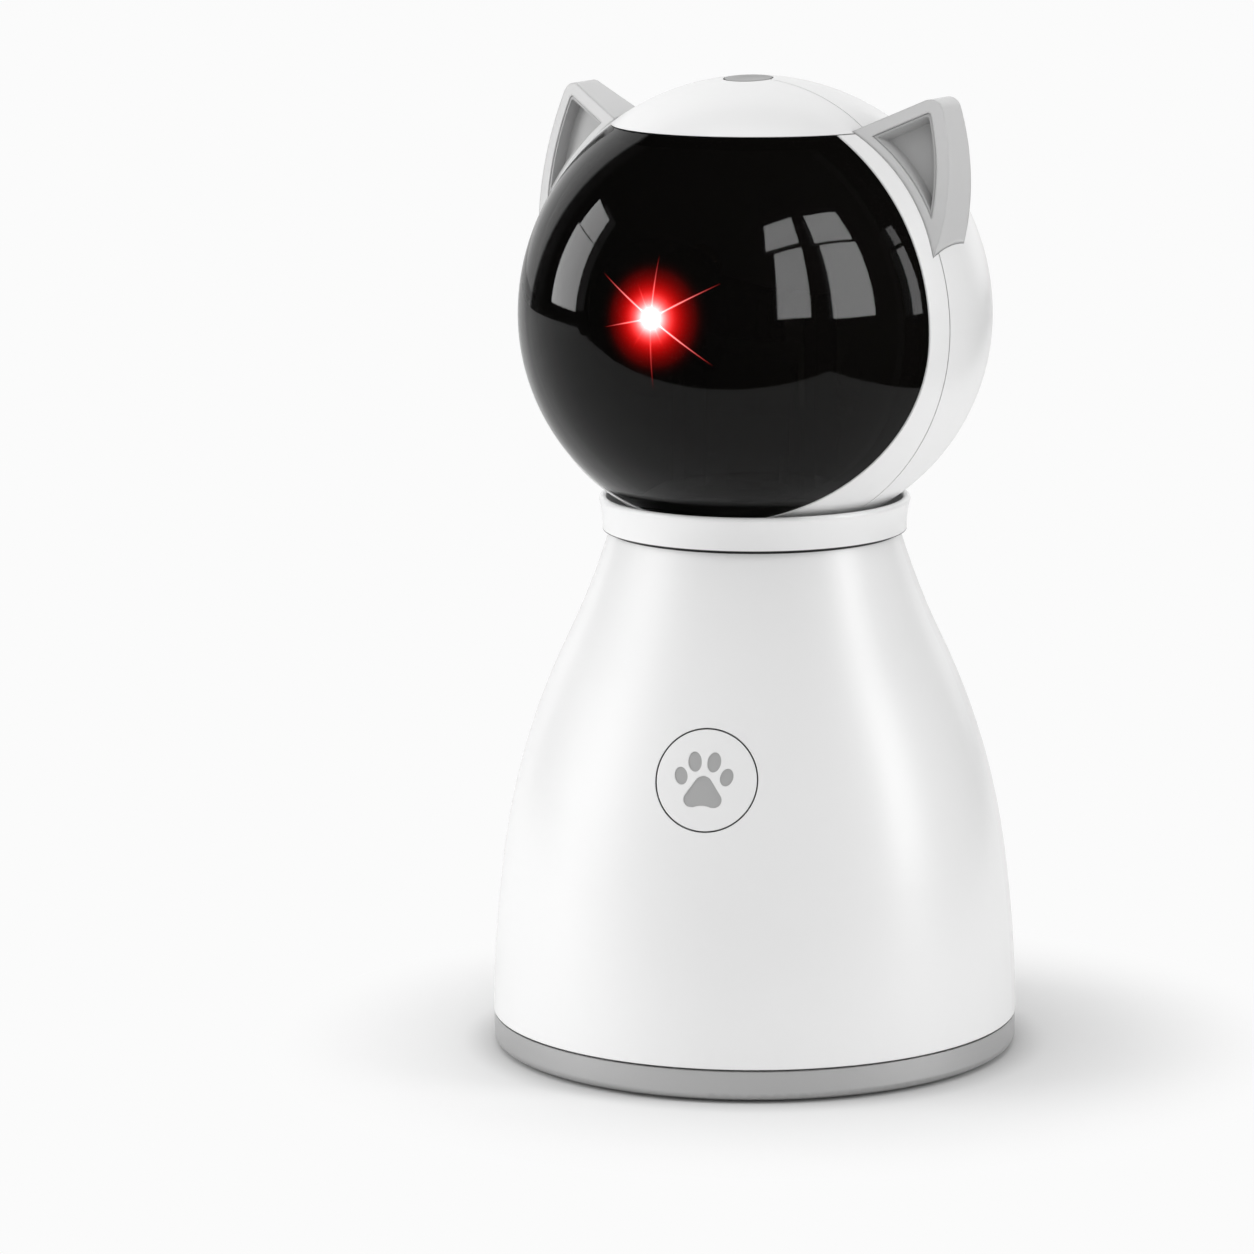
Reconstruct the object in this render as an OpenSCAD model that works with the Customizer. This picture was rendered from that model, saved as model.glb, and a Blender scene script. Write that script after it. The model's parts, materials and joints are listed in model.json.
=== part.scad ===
// Automatic cat laser toy: a bell-shaped stand with a round cat head that turns on it.
// The origin is on the floor under the middle of the stand. +Z is up and the stand's front
// (its round paw button) faces -Y. All sizes are in millimetres.
//
// Inside, a small gear motor turns the head through a two-stage gear train in the neck, and a
// second one in the head tips the laser through a pinion and a toothed sector. The laser's
// cradle turns about the centre of the head, so its lens keeps one distance from the visor.

/* [Stand] */
// Diameter across the foot of the stand
base_d = 90; // [86:1:94]
// Height of the seam between the grey base tray and the white shell
tray_h = 5.9; // [5.4:0.1:7.5]
// Height of the seam between the shell and the neck collar
neck_z = 89.2; // [86:0.2:93]
// Radius of the gentle curve up the lower flank
flank_curve = 223; // [180:1:300]
// Height where the flank starts to round in
flank_top = 35.2; // [30:0.2:42]
// Diameter of the neck at its seam
neck_d = 49.6; // [48.4:0.1:51]
// Height of the hollow stretch below the neck seam
hollow_h = 18.8; // [17:0.2:21]
// Radius of the hollow curve below the neck
hollow_curve = 129; // [110:1:160]
// Thickness of the stand's shell
wall = 2.2; // [1.8:0.1:2.6]
// Width of the fine shadow lines between covers
seam_w = 0.3; // [0.2:0.05:0.4]

/* [Feet and screws] */
// Diameter of each rubber foot
foot_d = 9; // [7:0.5:11]
// How far the feet stand proud of the tray
foot_proud = 0.5; // [0.4:0.1:1]
// Distance of the feet and the cover screws from the edge
foot_inset = 9.5; // [8.5:0.5:11]
// Thread diameter of the self-tapping cover screws
cover_screw_d = 2.6; // [2.2:0.1:3]

/* [Neck] */
// Height of the neck collar above its seam
collar_h = 6.1; // [5.4:0.1:7]
// Thickness of the collar's lip
lip_t = 1.3; // [1:0.1:1.6]
// Air gap between the lip and the head
lip_gap = 1.1; // [0.7:0.1:1.5]
// Outer diameter of the hollow spindle that carries the head
spindle_d = 12; // [11:0.5:13]
// Diameter of the wire passage through the spindle
wire_bore_d = 6.8; // [5:0.2:7.2]

/* [Head] */
// Diameter of the head
head_d = 80.6; // [79:0.2:83]
// How far a whole ball of that size would dip below the neck seam
head_dip = 3.4; // [3:0.1:3.8]
// How far the lower half of the head draws in
head_taper = 2.9; // [2:0.1:3.6]
// Thickness of the head's covers
head_wall = 2; // [1.8:0.1:2.4]
// How far the head is turned from the stand's front in the resting pose, in degrees
head_turn = 16; // [0:1:40]
// Distance of the seam between rear cover and bezel in front of the head's centre
rear_seam = 6.1; // [5:0.1:7]
// Distance of the visor's upright edge in front of the head's centre
visor_edge = 11.2; // [10:0.1:13]
// Radius with which the visor's edge sweeps forward towards the chin
chin_curve = 56; // [50:1:70]
// Height of the forehead piece, from its lower edge to the crown
forehead_h = 8.1; // [7.4:0.1:9]
// Thickness of the smoked visor
visor_t = 1.8; // [1.5:0.1:2]

/* [Ears] */
// Angle from the crown at which the ear starts
ear_from = 34.6; // [33:0.2:36]
// Angle from the crown at which the ear ends
ear_to = 71.9; // [69:0.1:74]
// Distance of the ear's front foot in front of the head's centre
ear_front = 8; // [7:0.1:9]
// Length of the ear's inner edge up to its sharp corner
ear_h = 15.6; // [14:0.2:17]
// Lean of the inner edge towards the outside, in degrees
ear_skew = 10; // [6:0.5:14]
// Radius of the bulging outer edge
ear_bulge = 44; // [38:1:70]
// Depth of the ear at its foot, from front to back
ear_foot_t = 10.8; // [9:0.1:12]
// Depth of the ear at its tip
ear_tip_t = 6.6; // [5.6:0.1:8]
// Backward lean of the ear's front, in degrees
ear_lean = 26; // [20:1:32]
// Rounding of the ear's tip
ear_tip_r = 2.2; // [1.6:0.1:2.8]
// Width of the rim around the inner-ear cup
ear_rim = 2.1; // [1.7:0.1:2.6]
// Depth of the inner-ear cup
ear_cup_depth = 2.8; // [2:0.1:3.4]

/* [Buttons] */
// Height of the paw button's centre on the stand
paw_z = 53.4; // [50:0.2:58]
// Diameter of the paw button's hole
paw_hole_d = 17.4; // [16:0.2:19]
// Diameter of the crown button's hole
crown_hole_d = 8.5; // [7.5:0.1:9.5]
// Gap round each button
button_gap = 0.25; // [0.15:0.05:0.35]
// Travel of each button
button_travel = 0.5; // [0.3:0.05:0.6]
// Size of the paw print, as a share of the one drawn
paw_print_scale = 1; // [0.8:0.05:1.15]

/* [Laser] */
// Room between the laser's front end and the visor
lens_gap = 3.6; // [3.2:0.1:5]
// Angle of that point above the head's centre, in degrees
lens_rise = 6.7; // [4:0.1:9]
// Downward pitch of the beam in the resting pose, in degrees
beam_pitch = 22; // [16:1:28]
// Diameter of the laser barrel
barrel_d = 6.5; // [6:0.1:7]
// Length of the laser barrel
barrel_l = 18; // [15:0.5:19]

/* [Gears] */
// Module of the head gear, its pinion and the laser's sector
head_module = 0.7; // [0.65:0.01:0.72]
// Module of the first stage, on the neck motor
motor_module = 0.6; // [0.55:0.01:0.62]
// Teeth on the head gear
head_teeth = 40; // [38:1:42]
// Teeth on each motor pinion and on the small idler gear
pinion_teeth = 12; // [12:1:13]
// Teeth on the large idler gear
idler_teeth = 28; // [26:1:30]
// Teeth on a full turn of the laser's sector
sector_teeth = 44; // [42:1:46]
// Clearance between meshing teeth, along the pitch line
backlash = 0.12; // [0.08:0.01:0.2]

/* [Power] */
// Diameter of the rechargeable cell
cell_d = 18.4; // [16:0.2:18.8]
// Length of the rechargeable cell
cell_l = 65; // [50:1:66]
// Width of the charging socket
socket_w = 8.9; // [8.5:0.1:9.2]
// Height of the charging socket
socket_h = 3.2; // [2.8:0.1:3.4]

/* [Hidden] */
$fn = 96;
eps = 0.01;
// Larger than any piece, for half spaces
far = 120;
// Play between pieces that are fixed to each other, and between a shaft and its bore
fit = 0.05;
run = 0.03;

// --- colours ---
white_plastic = "#f2f2f0";
grey_plastic = "#b9b9b8";
ear_grey = "#d2d2d1";
cup_grey = "#8f8f8e";
smoke = "#141210";
print_grey = "#a9a9a8";
steel = "#a4a7ab";
brass = "#b08d4c";
gear_white = "#e6e2d6";
board_green = "#2f6b45";
black_plastic = "#26262a";
rubber = "#3a3a3c";

// --- the stand's outline: flank, shoulder and hollow, each tangent to the next ---
body_max_r = base_d / 2 + 0.1;
neck_r = neck_d / 2;
waist_z = neck_z - hollow_h;
flank_foot = 3.6;
// Sines of the surface's tilt at the flank's top, at the waist and at the neck
flank_s = (flank_top - flank_foot) / flank_curve;
function waist_s(curve) = flank_s + (waist_z - flank_top) / curve;
function neck_s(curve) = waist_s(curve) - hollow_h / hollow_curve;
function cos_of(sine) = sqrt(1 - sine * sine);
// Neck radius that a shoulder of a given curve would lead to
function neck_from(curve) =
    body_max_r - flank_curve * (1 - cos_of(flank_s))
    - curve * (cos_of(flank_s) - cos_of(waist_s(curve)))
    - hollow_curve * (cos_of(neck_s(curve)) - cos_of(waist_s(curve)));
// The shoulder's curve that meets the neck's diameter, found by halving
function meet_neck(low, high, steps) =
    let (middle = (low + high) / 2)
    steps == 0 ? middle
    : neck_from(middle) < neck_r ? meet_neck(middle, high, steps - 1)
    : meet_neck(low, middle, steps - 1);
shoulder_curve = meet_neck(60, 400, 40);
flank_c = [body_max_r - flank_curve, flank_foot];
flank_n = [cos_of(flank_s), flank_s];
shoulder_c = flank_c + flank_n * (flank_curve - shoulder_curve);
shoulder_n = [cos_of(waist_s(shoulder_curve)), waist_s(shoulder_curve)];
hollow_c = shoulder_c + shoulder_n * (shoulder_curve + hollow_curve);

// Radius of the stand at height z, for a surface lying inset below the outer one
function body_r(z, inset = 0) =
    z < flank_top ? flank_c.x + sqrt(pow(flank_curve - inset, 2) - pow(z - flank_c.y, 2))
    : z < waist_z ? shoulder_c.x + sqrt(pow(shoulder_curve - inset, 2) - pow(z - shoulder_c.y, 2))
    : hollow_c.x - sqrt(pow(hollow_curve + inset, 2) - pow(z - hollow_c.y, 2));
// Upward tilt of the stand's surface normal at a height on the shoulder
function shoulder_tilt(z) = asin((z - shoulder_c.y) / shoulder_curve);

// --- the base tray ---
tray_t = 2.4;
tray_wall = 2.4;
tray_floor = foot_proud + tray_t;
tray_edge_r = 1.3;
spigot_h = 2.6;
spigot_r = body_r(tray_h, wall) - 0.15;
spigot_t = 1.5;
foot_t = foot_proud + 0.8;
foot_circle = base_d / 2 - foot_inset;
cover_boss_r = 3.4;
cover_boss_top = 20;
cover_screw_l = 9;
cover_head_r = 2.4;
cover_head_t = 1.7;
cover_angles = [40, 140, 220, 320];
foot_angles = [0, 90, 180, 270];

// --- the neck, from its seam down and up ---
neck_in_r = body_r(neck_z, wall);
head_r = head_d / 2;
head_low_r = head_r - head_taper;
// Radius of the head's outside at a height below its centre, and of a surface inset below it
function head_lower(dz, inset = 0) = head_taper + sqrt(pow(head_low_r - inset, 2) - dz * dz);
head_z = neck_z + head_r - head_dip;
brow_z = head_r - forehead_h;
lip_z = neck_z + collar_h;
lip_in_r = head_lower(head_z - lip_z) + lip_gap;
lip_out_r = lip_in_r + lip_t;
collar_step = 1.1;
collar_r = neck_r + collar_step;
collar_floor = neck_z + 1.6;
flare_curve = 22;
deck_top = neck_z - 0.6;
deck_t = 2;
deck_bottom = deck_top - deck_t;
collar_plug_r = neck_in_r - 0.15;
collar_plug_t = 1.5;
collar_plug_h = 4.6;
boss_bottom = deck_bottom - 4.6;
boss_r = spindle_d / 2 + 3;
bushing_t = 1;
washer_t = 0.6;
washer_r = 11;
post_r = 2.4;
post_at = collar_plug_r - post_r - 0.9;
post_angles = [80, 180, 280];

// --- the gear train in the neck, stacked downwards from the deck ---
pressure_angle = 25;
tooth_addendum = 1;
tooth_dedendum = 1.25;
hub_gap = 0.1;
hub_top = boss_bottom - hub_gap;
hub_h = 4.8;
hub_r = spindle_d / 2 + 2;
head_gear_w = 3.2;
head_gear_z = hub_top - hub_h + 0.4;
clip_t = 0.8;
clip_z = hub_top - hub_h - hub_gap - clip_t;
spindle_end = clip_z - 1.1;
idler_at = head_module * (head_teeth + pinion_teeth) / 2;
motor_at = motor_module * (idler_teeth + pinion_teeth) / 2;
motor_angle = 225;
idler_small_w = head_gear_w + 1;
idler_small_z = head_gear_z - 0.5;
idler_large_w = 2.6;
idler_large_z = idler_small_z - idler_large_w - 3.2;
idler_pin_r = 1;
idler_boss_r = 2.5;
plate_t = 2;
plate_top = idler_large_z - 0.6;
plate_bottom = plate_top - plate_t;
plate_r = post_at + post_r + 5.5;
lug_w = 8;
lug_h = 6;
plate_screw_r = 1.1;
plate_head_r = 2;
plate_head_t = 1.3;
plate_thread = 5.5;

// --- small gear motor, the same in neck and head ---
motor_w = 12;
motor_d = 10;
gearbox_l = 9;
can_l = 15;
motor_shaft_r = 1.5;
motor_flat = 1;
motor_boss_r = 2;
motor_boss_h = 0.6;
motor_screw_at = 4.5;
motor_screw_r = 0.8;
motor_head_r = 1.5;
motor_head_t = 0.9;
motor_thread = 2.4;
motor_sink = 0.8;
shaft_depth = 3;
pinion_w = 3.4;

// --- turntable under the head ---
shoulder_r = 11;
turn_shoulder_z = deck_top + washer_t + fit;
turn_shoulder_h = 2;
turn_plate_z = turn_shoulder_z + turn_shoulder_h;
turn_plate_t = 2;
head_floor = turn_plate_z + turn_plate_t;
head_floor_rel = head_floor - head_z;
turn_plate_r = head_lower(head_floor_rel) - 0.2;
spindle_r = spindle_d / 2;
spindle_flat = spindle_r - 0.8;
shell_boss_r = 2.2;
shell_boss_at = head_lower(head_floor_rel, head_wall) - shell_boss_r - 0.2;
shell_boss_h = 7;
shell_boss_angles = [32, 90, 148];
shell_screw_r = 1;
shell_head_r = 1.9;
shell_thread = 5;
small_head_r = 1.6;
small_head_t = 1.1;

// --- head covers ---
cover_gap = 0.2;
visor_inset = 0.2;
rib_t = 1.2;
rib_r = head_r - visor_inset - visor_t - 0.1;
crown_y = -2.3;
cap_back = 2.4;
cap_lean = 0.3;
chin_start = -2;

// --- crown button ---
crown_r = crown_hole_d / 2 - button_gap;
crown_flange_r = crown_hole_d / 2 + 1;
crown_flange_top = sqrt(pow(head_r - head_wall, 2) - pow(crown_flange_r - crown_y, 2)) - 0.15;
crown_flange_t = 1;
switch_w = 6;
switch_h = 3.5;
plunger_r = 1.7;
plunger_h = 1.2;
plunger_depth = 1.2;
stem_r = 1.8;
stem_l = 1.6;
crown_board_t = 1.2;
crown_board_x = 8.5;
crown_plunger_top = crown_flange_top - crown_flange_t - stem_l;
crown_switch_top = crown_plunger_top - plunger_h;
crown_board_top = crown_switch_top - switch_h;
crown_post_r = 1.8;
crown_thread = 2.4;
crown_post_x = 6;
crown_post_y = 5;

// --- paw button ---
paw_r = body_r(paw_z);
paw_tilt = shoulder_tilt(paw_z);
paw_cap_r = paw_hole_d / 2 - button_gap;
paw_flange_r = paw_hole_d / 2 + 0.9;
paw_sag = pow(paw_flange_r, 2) / (2 * (paw_r - wall));
paw_flange_z = -(wall + paw_sag + 0.25);
paw_flange_t = 1;
paw_face_t = 1.7;
paw_plunger_z = paw_flange_z - paw_flange_t - stem_l;
paw_switch_z = paw_plunger_z - plunger_h;
paw_board_z = paw_switch_z - switch_h;
paw_board_t = 1.2;
paw_board_w = 2 * paw_flange_r + 9;
paw_board_h = 13;
paw_post_r = 2.1;
paw_thread = 3;
paw_post_x = paw_flange_r + 2.4;
print_sink = 0.12;
print_t = 0.35;
print_shift = -0.35;

// --- laser and its drive ---
lens_reach = head_r - visor_inset - visor_t - lens_gap;
lens_f = [lens_reach * cos(lens_rise), lens_reach * sin(lens_rise)];
barrel_r = barrel_d / 2;
holder_t = 1.5;
holder_from = 4;
holder_l = 10;
lens_r = 2;
lens_t = 1.2;
cross_r = 2.5;
cross_flat = 1.9;
pivot_r = 1.5;
upright_in = 11.6;
upright_t = 2;
upright_w = 8;
sector_x = 8.2;
sector_w = 2.6;
sector_count = 9;
sector_first = -5;
sector_hub_r = 4.4;
sector_at = head_module * (sector_teeth + pinion_teeth) / 2;
tilt_motor_angle = 45;
tilt_wall_x = 4.4;
tilt_wall_t = 2;
tilt_pinion_x = sector_x - 0.3;
tilt_motor_y = sector_at * sin(tilt_motor_angle);
tilt_motor_z = -sector_at * cos(tilt_motor_angle);
frame_t = 2;
frame_y0 = -8;
frame_y1 = shell_boss_at - shell_boss_r - 0.4;
frame_r = head_lower(head_floor_rel, head_wall) - 0.5;
frame_screw_r = 0.85;
frame_thread = 1.8;

// --- boards and power ---
cell_y = -6;
board_screw_r = 0.85;
board_t = 1.6;
main_board_z = tray_floor + 5;
main_board_r = spigot_r - spigot_t - 0.7;
main_board_half = main_board_r - 7.5;
// Spacing of the parts along the board, holes' distance from its corners and from its round edge
board_step = main_board_half * 0.3;
main_hole_in = 5;
main_hole_rim = 4.3;
main_thread = 3.4;
main_board_y0 = cell_y + cell_d / 2 + 5.8;
main_board_hole_turn = 24.5;
standoff_r = 2.4;
socket_l = 7.3;
socket_mouth = body_r(main_board_z) - 1.6;
cell_z = tray_floor + 1.6 + cell_d / 2;
holder_wall = 1.6;
contact_t = 0.4;
chip_w = 10;
coil_r = 3.2;
plug_w = 6;

// ================= shared shapes =================

// A flat ring or tube from z0 to z1
module tube(r_out, r_in, z0, z1) {
    translate([0, 0, z0])
        difference() {
            cylinder(r = r_out, h = z1 - z0);
            translate([0, 0, -eps])
                cylinder(r = r_in, h = z1 - z0 + 2 * eps);
        }
}

// Children at each angle, at radius r from the upright axis
module ring_of(angles, r) {
    for (a = angles)
        rotate([0, 0, a])
            translate([r, 0, 0])
                children();
}

// The stand's half outline, inset below the outer surface, from z0 to z1
module body_outline(inset, z0, z1) {
    intersection() {
        translate(flank_c)
            circle(r = flank_curve - inset);
        translate([0, z0])
            square([far, flank_top - z0]);
    }
    intersection() {
        translate(shoulder_c)
            circle(r = shoulder_curve - inset);
        translate([0, flank_top])
            square([far, waist_z - flank_top]);
    }
    difference() {
        translate([0, waist_z])
            square([hollow_c.x, z1 - waist_z]);
        translate(hollow_c)
            circle(r = hollow_curve + inset);
    }
}

// The whole stand as a solid, inset below its outer surface
module body_solid(inset) {
    rotate_extrude($fn = 180)
        body_outline(inset, tray_h, neck_z);
}

// The head's half outline about its own centre: a round crown over a drawn-in lower half
module head_outline(inset) {
    intersection() {
        circle(r = head_r - inset);
        square([far, far]);
    }
    intersection() {
        translate([head_taper, 0])
            circle(r = head_low_r - inset);
        translate([0, head_floor_rel])
            square([far, -head_floor_rel]);
    }
}

module head_solid(inset) {
    rotate_extrude($fn = 180)
        head_outline(inset);
}

// A shell of the head between two insets
module head_skin(inset_out, inset_in) {
    rotate_extrude($fn = 180)
        difference() {
            head_outline(inset_out);
            head_outline(inset_in);
        }
}

// Children drawn about the head's centre, with the head facing -Y
module in_head() {
    translate([0, 0, head_z])
        rotate([0, 0, -head_turn])
            children();
}

// A side profile drawn as (forward, up), spread across the head
module across_head(width = 2 * far) {
    rotate([0, 0, -90])
        rotate([90, 0, 0])
            linear_extrude(width, center = true)
                children();
}

// Children drawn in a plane square to the head's side-to-side axis, x along that axis
module on_cross_axis(x = 0) {
    translate([x, 0, 0])
        rotate([0, 90, 0])
            children();
}

// Children drawn at the paw button, with +Z out of the stand
module at_paw() {
    translate([0, -paw_r, paw_z])
        rotate([90 - paw_tilt, 0, 0])
            children();
}

// Children drawn at the laser's front end, with +Z along the beam
module at_lens() {
    translate([0, -lens_f.x, lens_f.y])
        rotate([90 + beam_pitch, 0, 0])
            children();
}

// A pan-head screw: its head sits on z = 0 and its thread points down
module screw(r, length, head_r, head_t) {
    difference() {
        union() {
            cylinder(r = head_r, h = head_t);
            translate([0, 0, -length])
                cylinder(r = r, h = length + eps);
        }
        for (a = [0, 90])
            rotate([0, 0, a])
                translate([-head_r * 0.6, -head_r * 0.12, head_t * 0.45])
                    cube([head_r * 1.2, head_r * 0.24, head_t]);
    }
}

// --- involute gears ---
function involute(base_r, r) = tan(acos(base_r / r)) * 180 / PI - acos(base_r / r);
function tooth_half(m, n, r) =
    let (pitch_r = m * n / 2, base_r = pitch_r * cos(pressure_angle))
    90 / n - backlash / 4 / pitch_r * 180 / PI
    + involute(base_r, pitch_r) - involute(base_r, max(r, base_r));
// Radii at which a flank is sampled, from the root to the tip
function flank_radii(m, n) =
    let (pitch_r = m * n / 2,
         root = pitch_r - tooth_dedendum * m,
         start = max(root, pitch_r * cos(pressure_angle)),
         tip = pitch_r + tooth_addendum * m)
    concat([root], [for (i = [0 : 3]) start + eps + (tip - start - eps) * i / 3]);
function tooth(m, n, k) =
    let (radii = flank_radii(m, n), centre = k * 360 / n)
    concat(
        [for (r = radii) let (a = centre - tooth_half(m, n, r)) [r * cos(a), r * sin(a)]],
        [for (i = [len(radii) - 1 : -1 : 0])
            let (r = radii[i], a = centre + tooth_half(m, n, r)) [r * cos(a), r * sin(a)]]
    );

// A gear outline with one tooth centred on +X
module gear_outline(m, n) {
    polygon([for (k = [0 : n - 1]) each tooth(m, n, k)]);
}

// A round bar with one flat, or two
module flatted_bar(r, flat, both, z0, z1) {
    intersection() {
        translate([0, 0, z0])
            cylinder(r = r, h = z1 - z0);
        translate([both ? -flat : -2 * r, -2 * r, z0 - eps])
            cube([both ? 2 * flat : 2 * r + flat, 4 * r, z1 - z0 + 2 * eps]);
    }
}

// A gear motor with its mounting face on z = 0, its body below and its shaft pointing up
module gear_motor() {
    difference() {
        union() {
            translate([-motor_w / 2, -motor_d / 2, -gearbox_l])
                cube([motor_w, motor_d, gearbox_l]);
            cylinder(r = motor_boss_r, h = motor_boss_h);
            intersection() {
                translate([0, 0, -gearbox_l - can_l])
                    cylinder(r = motor_w / 2, h = can_l);
                translate([-motor_w / 2, -motor_d / 2, -gearbox_l - can_l])
                    cube([motor_w, motor_d, can_l]);
            }
            translate([0, 0, -gearbox_l - can_l - 1])
                cylinder(r = motor_boss_r, h = 1 + eps);
        }
        translate([0, 0, -shaft_depth])
            cylinder(r = motor_shaft_r + run, h = shaft_depth + motor_boss_h + eps);
        for (x = [-motor_screw_at, motor_screw_at])
            translate([x, 0, -3])
                cylinder(r = motor_screw_r + eps, h = 3 + eps);
    }
}

// Its two screws, with their heads sunk into the plate that it hangs on
module gear_motor_screws(plate) {
    for (x = [-motor_screw_at, motor_screw_at])
        translate([x, 0, plate - motor_sink])
            screw(motor_screw_r, plate - motor_sink + motor_thread, motor_head_r, motor_head_t);
}

// Holes for them, and for the motor's boss, through that plate
module gear_motor_holes(plate) {
    translate([0, 0, -1])
        cylinder(r = motor_boss_r + 0.15, h = plate + 2);
    for (x = [-motor_screw_at, motor_screw_at])
        translate([x, 0, 0]) {
            translate([0, 0, -1])
                cylinder(r = motor_screw_r + 0.15, h = plate + 2);
            translate([0, 0, plate - motor_sink])
                cylinder(r = motor_head_r + 0.1, h = 2);
        }
}

// The motor's output shaft, flatted where the pinion sits
module gear_motor_shaft(reach) {
    translate([0, 0, -shaft_depth + 0.1])
        cylinder(r = motor_shaft_r, h = shaft_depth + motor_boss_h);
    flatted_bar(motor_shaft_r, motor_flat, false, motor_boss_h - eps, reach);
}

// A tact switch standing on z = 0, with a bore for its plunger
module tact_switch() {
    difference() {
        union() {
            translate([-switch_w / 2, -switch_w / 2, 0])
                cube([switch_w, switch_w, switch_h - 0.3]);
            translate([-switch_w / 2 + 0.3, -switch_w / 2 + 0.3, 0])
                cube([switch_w - 0.6, switch_w - 0.6, switch_h]);
            for (x = [-1, 1], y = [-1, 1])
                translate([x * (switch_w / 2 + 0.25) - 0.25, y * 2.25 - 0.35, 0])
                    cube([0.5, 0.7, 1]);
        }
        translate([0, 0, switch_h - plunger_depth - button_travel - 0.2])
            cylinder(r = plunger_r + run, h = far);
    }
}

// Its plunger, from inside the switch up to the button's stem
module plunger() {
    translate([0, 0, -plunger_depth])
        cylinder(r = plunger_r, h = plunger_depth + plunger_h);
}

// ================= stand =================

module base_tray() {
    color(grey_plastic)
        difference() {
            union() {
                rotate_extrude($fn = 180)
                    tray_outline();
                // Bosses that meet the shell's screw bosses
                ring_of(cover_angles, foot_circle)
                    translate([0, 0, tray_floor - eps])
                        cylinder(r = cover_boss_r, h = tray_h - tray_floor + eps);
                // Standoffs of the main board
                main_board_holes()
                    translate([0, 0, tray_floor - eps])
                        cylinder(r = standoff_r, h = main_board_z - tray_floor + eps);
            }
            ring_of(cover_angles, foot_circle) {
                cylinder(r = cover_screw_d / 2 + 0.2, h = tray_h + 1);
                translate([0, 0, -eps])
                    cylinder(r = cover_head_r + 0.3, h = foot_proud + cover_head_t + 0.4 + 2 * eps);
            }
            ring_of(foot_angles, foot_circle)
                translate([0, 0, -eps])
                    cylinder(r = foot_d / 2 + fit, h = foot_t + eps);
            main_board_holes()
                translate([0, 0, tray_floor + 1])
                    cylinder(r = board_screw_r + eps, h = main_board_z);
        }
}

// Half section of the tray: floor, outer wall with a rounded foot, and the rim inside the shell
module tray_outline() {
    difference() {
        union() {
            translate([0, foot_proud])
                square([base_d / 2 - tray_edge_r, tray_t]);
            translate([base_d / 2 - tray_wall - 1, foot_proud + tray_edge_r])
                square([tray_wall + 1, tray_h - foot_proud - tray_edge_r]);
            translate([base_d / 2 - tray_edge_r, foot_proud + tray_edge_r])
                circle(r = tray_edge_r);
            translate([spigot_r - spigot_t, foot_proud])
                square([spigot_t, tray_h + spigot_h - foot_proud]);
        }
        // Shadow line under the shell
        translate([base_d / 2 - 0.8, tray_h - seam_w])
            square([2, 1]);
    }
}

module rubber_feet() {
    color(rubber)
        ring_of(foot_angles, foot_circle)
            rotate_extrude()
                difference() {
                    square([foot_d / 2, foot_t]);
                    translate([foot_d / 2 - 0.3, -0.3])
                        rotate(-45)
                            square([1, 1], center = true);
                }
}

module base_screws() {
    color(steel)
        ring_of(cover_angles, foot_circle)
            translate([0, 0, foot_proud + cover_head_t + 0.4])
                mirror([0, 0, 1])
                    screw(cover_screw_d / 2, cover_screw_l, cover_head_r, cover_head_t);
}

module body_shell() {
    color(white_plastic)
        difference() {
            union() {
                rotate_extrude($fn = 180)
                    difference() {
                        body_outline(0, tray_h, neck_z);
                        translate([0, -eps])
                            body_outline(wall, tray_h, neck_z + 2 * eps);
                    }
                // Screw bosses, lugs and switch posts, all grown out of the wall
                intersection() {
                    union() {
                        ring_of(cover_angles, foot_circle)
                            translate([0, 0, tray_h]) {
                                cylinder(r = cover_boss_r, h = cover_boss_top - tray_h);
                                translate([0, -0.8, spigot_h + 1])
                                    cube([far, 1.6, cover_boss_top - tray_h - spigot_h - 1]);
                            }
                        for (a = post_angles)
                            rotate([0, 0, a])
                                translate([plate_r - 2.6, -lug_w / 2, plate_top])
                                    cube([far, lug_w, lug_h]);
                        at_paw()
                            for (x = [-paw_post_x, paw_post_x])
                                translate([x, 0, paw_board_z])
                                    cylinder(r = paw_post_r, h = -paw_board_z);
                    }
                    body_solid(wall / 2);
                }
            }
            ring_of(cover_angles, foot_circle)
                translate([0, 0, tray_h - 1])
                    cylinder(r = cover_screw_d / 2 + eps, h = cover_screw_l + 1);
            at_paw() {
                translate([0, 0, -far / 4])
                    cylinder(r = paw_hole_d / 2, h = far / 2);
                for (x = [-paw_post_x, paw_post_x])
                    translate([x, 0, paw_board_z - 1])
                        cylinder(r = board_screw_r + eps, h = 5);
            }
            socket_slot();
        }
}

// Rounded slot in the back of the shell for the charging plug
module socket_slot() {
    play = 0.5;
    h = socket_h + 2 * play;
    translate([0, 0, main_board_z + board_t + socket_h / 2])
        rotate([-90, 0, 0]) {
            for (x = [-1, 1])
                translate([x * (socket_w / 2 + play - h / 2), 0, base_d / 2 - 8])
                    cylinder(r = h / 2, h = 16);
            translate([-(socket_w / 2 + play - h / 2), -h / 2, base_d / 2 - 8])
                cube([socket_w + 2 * play - h, h, 16]);
        }
}

// ================= neck =================

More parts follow.
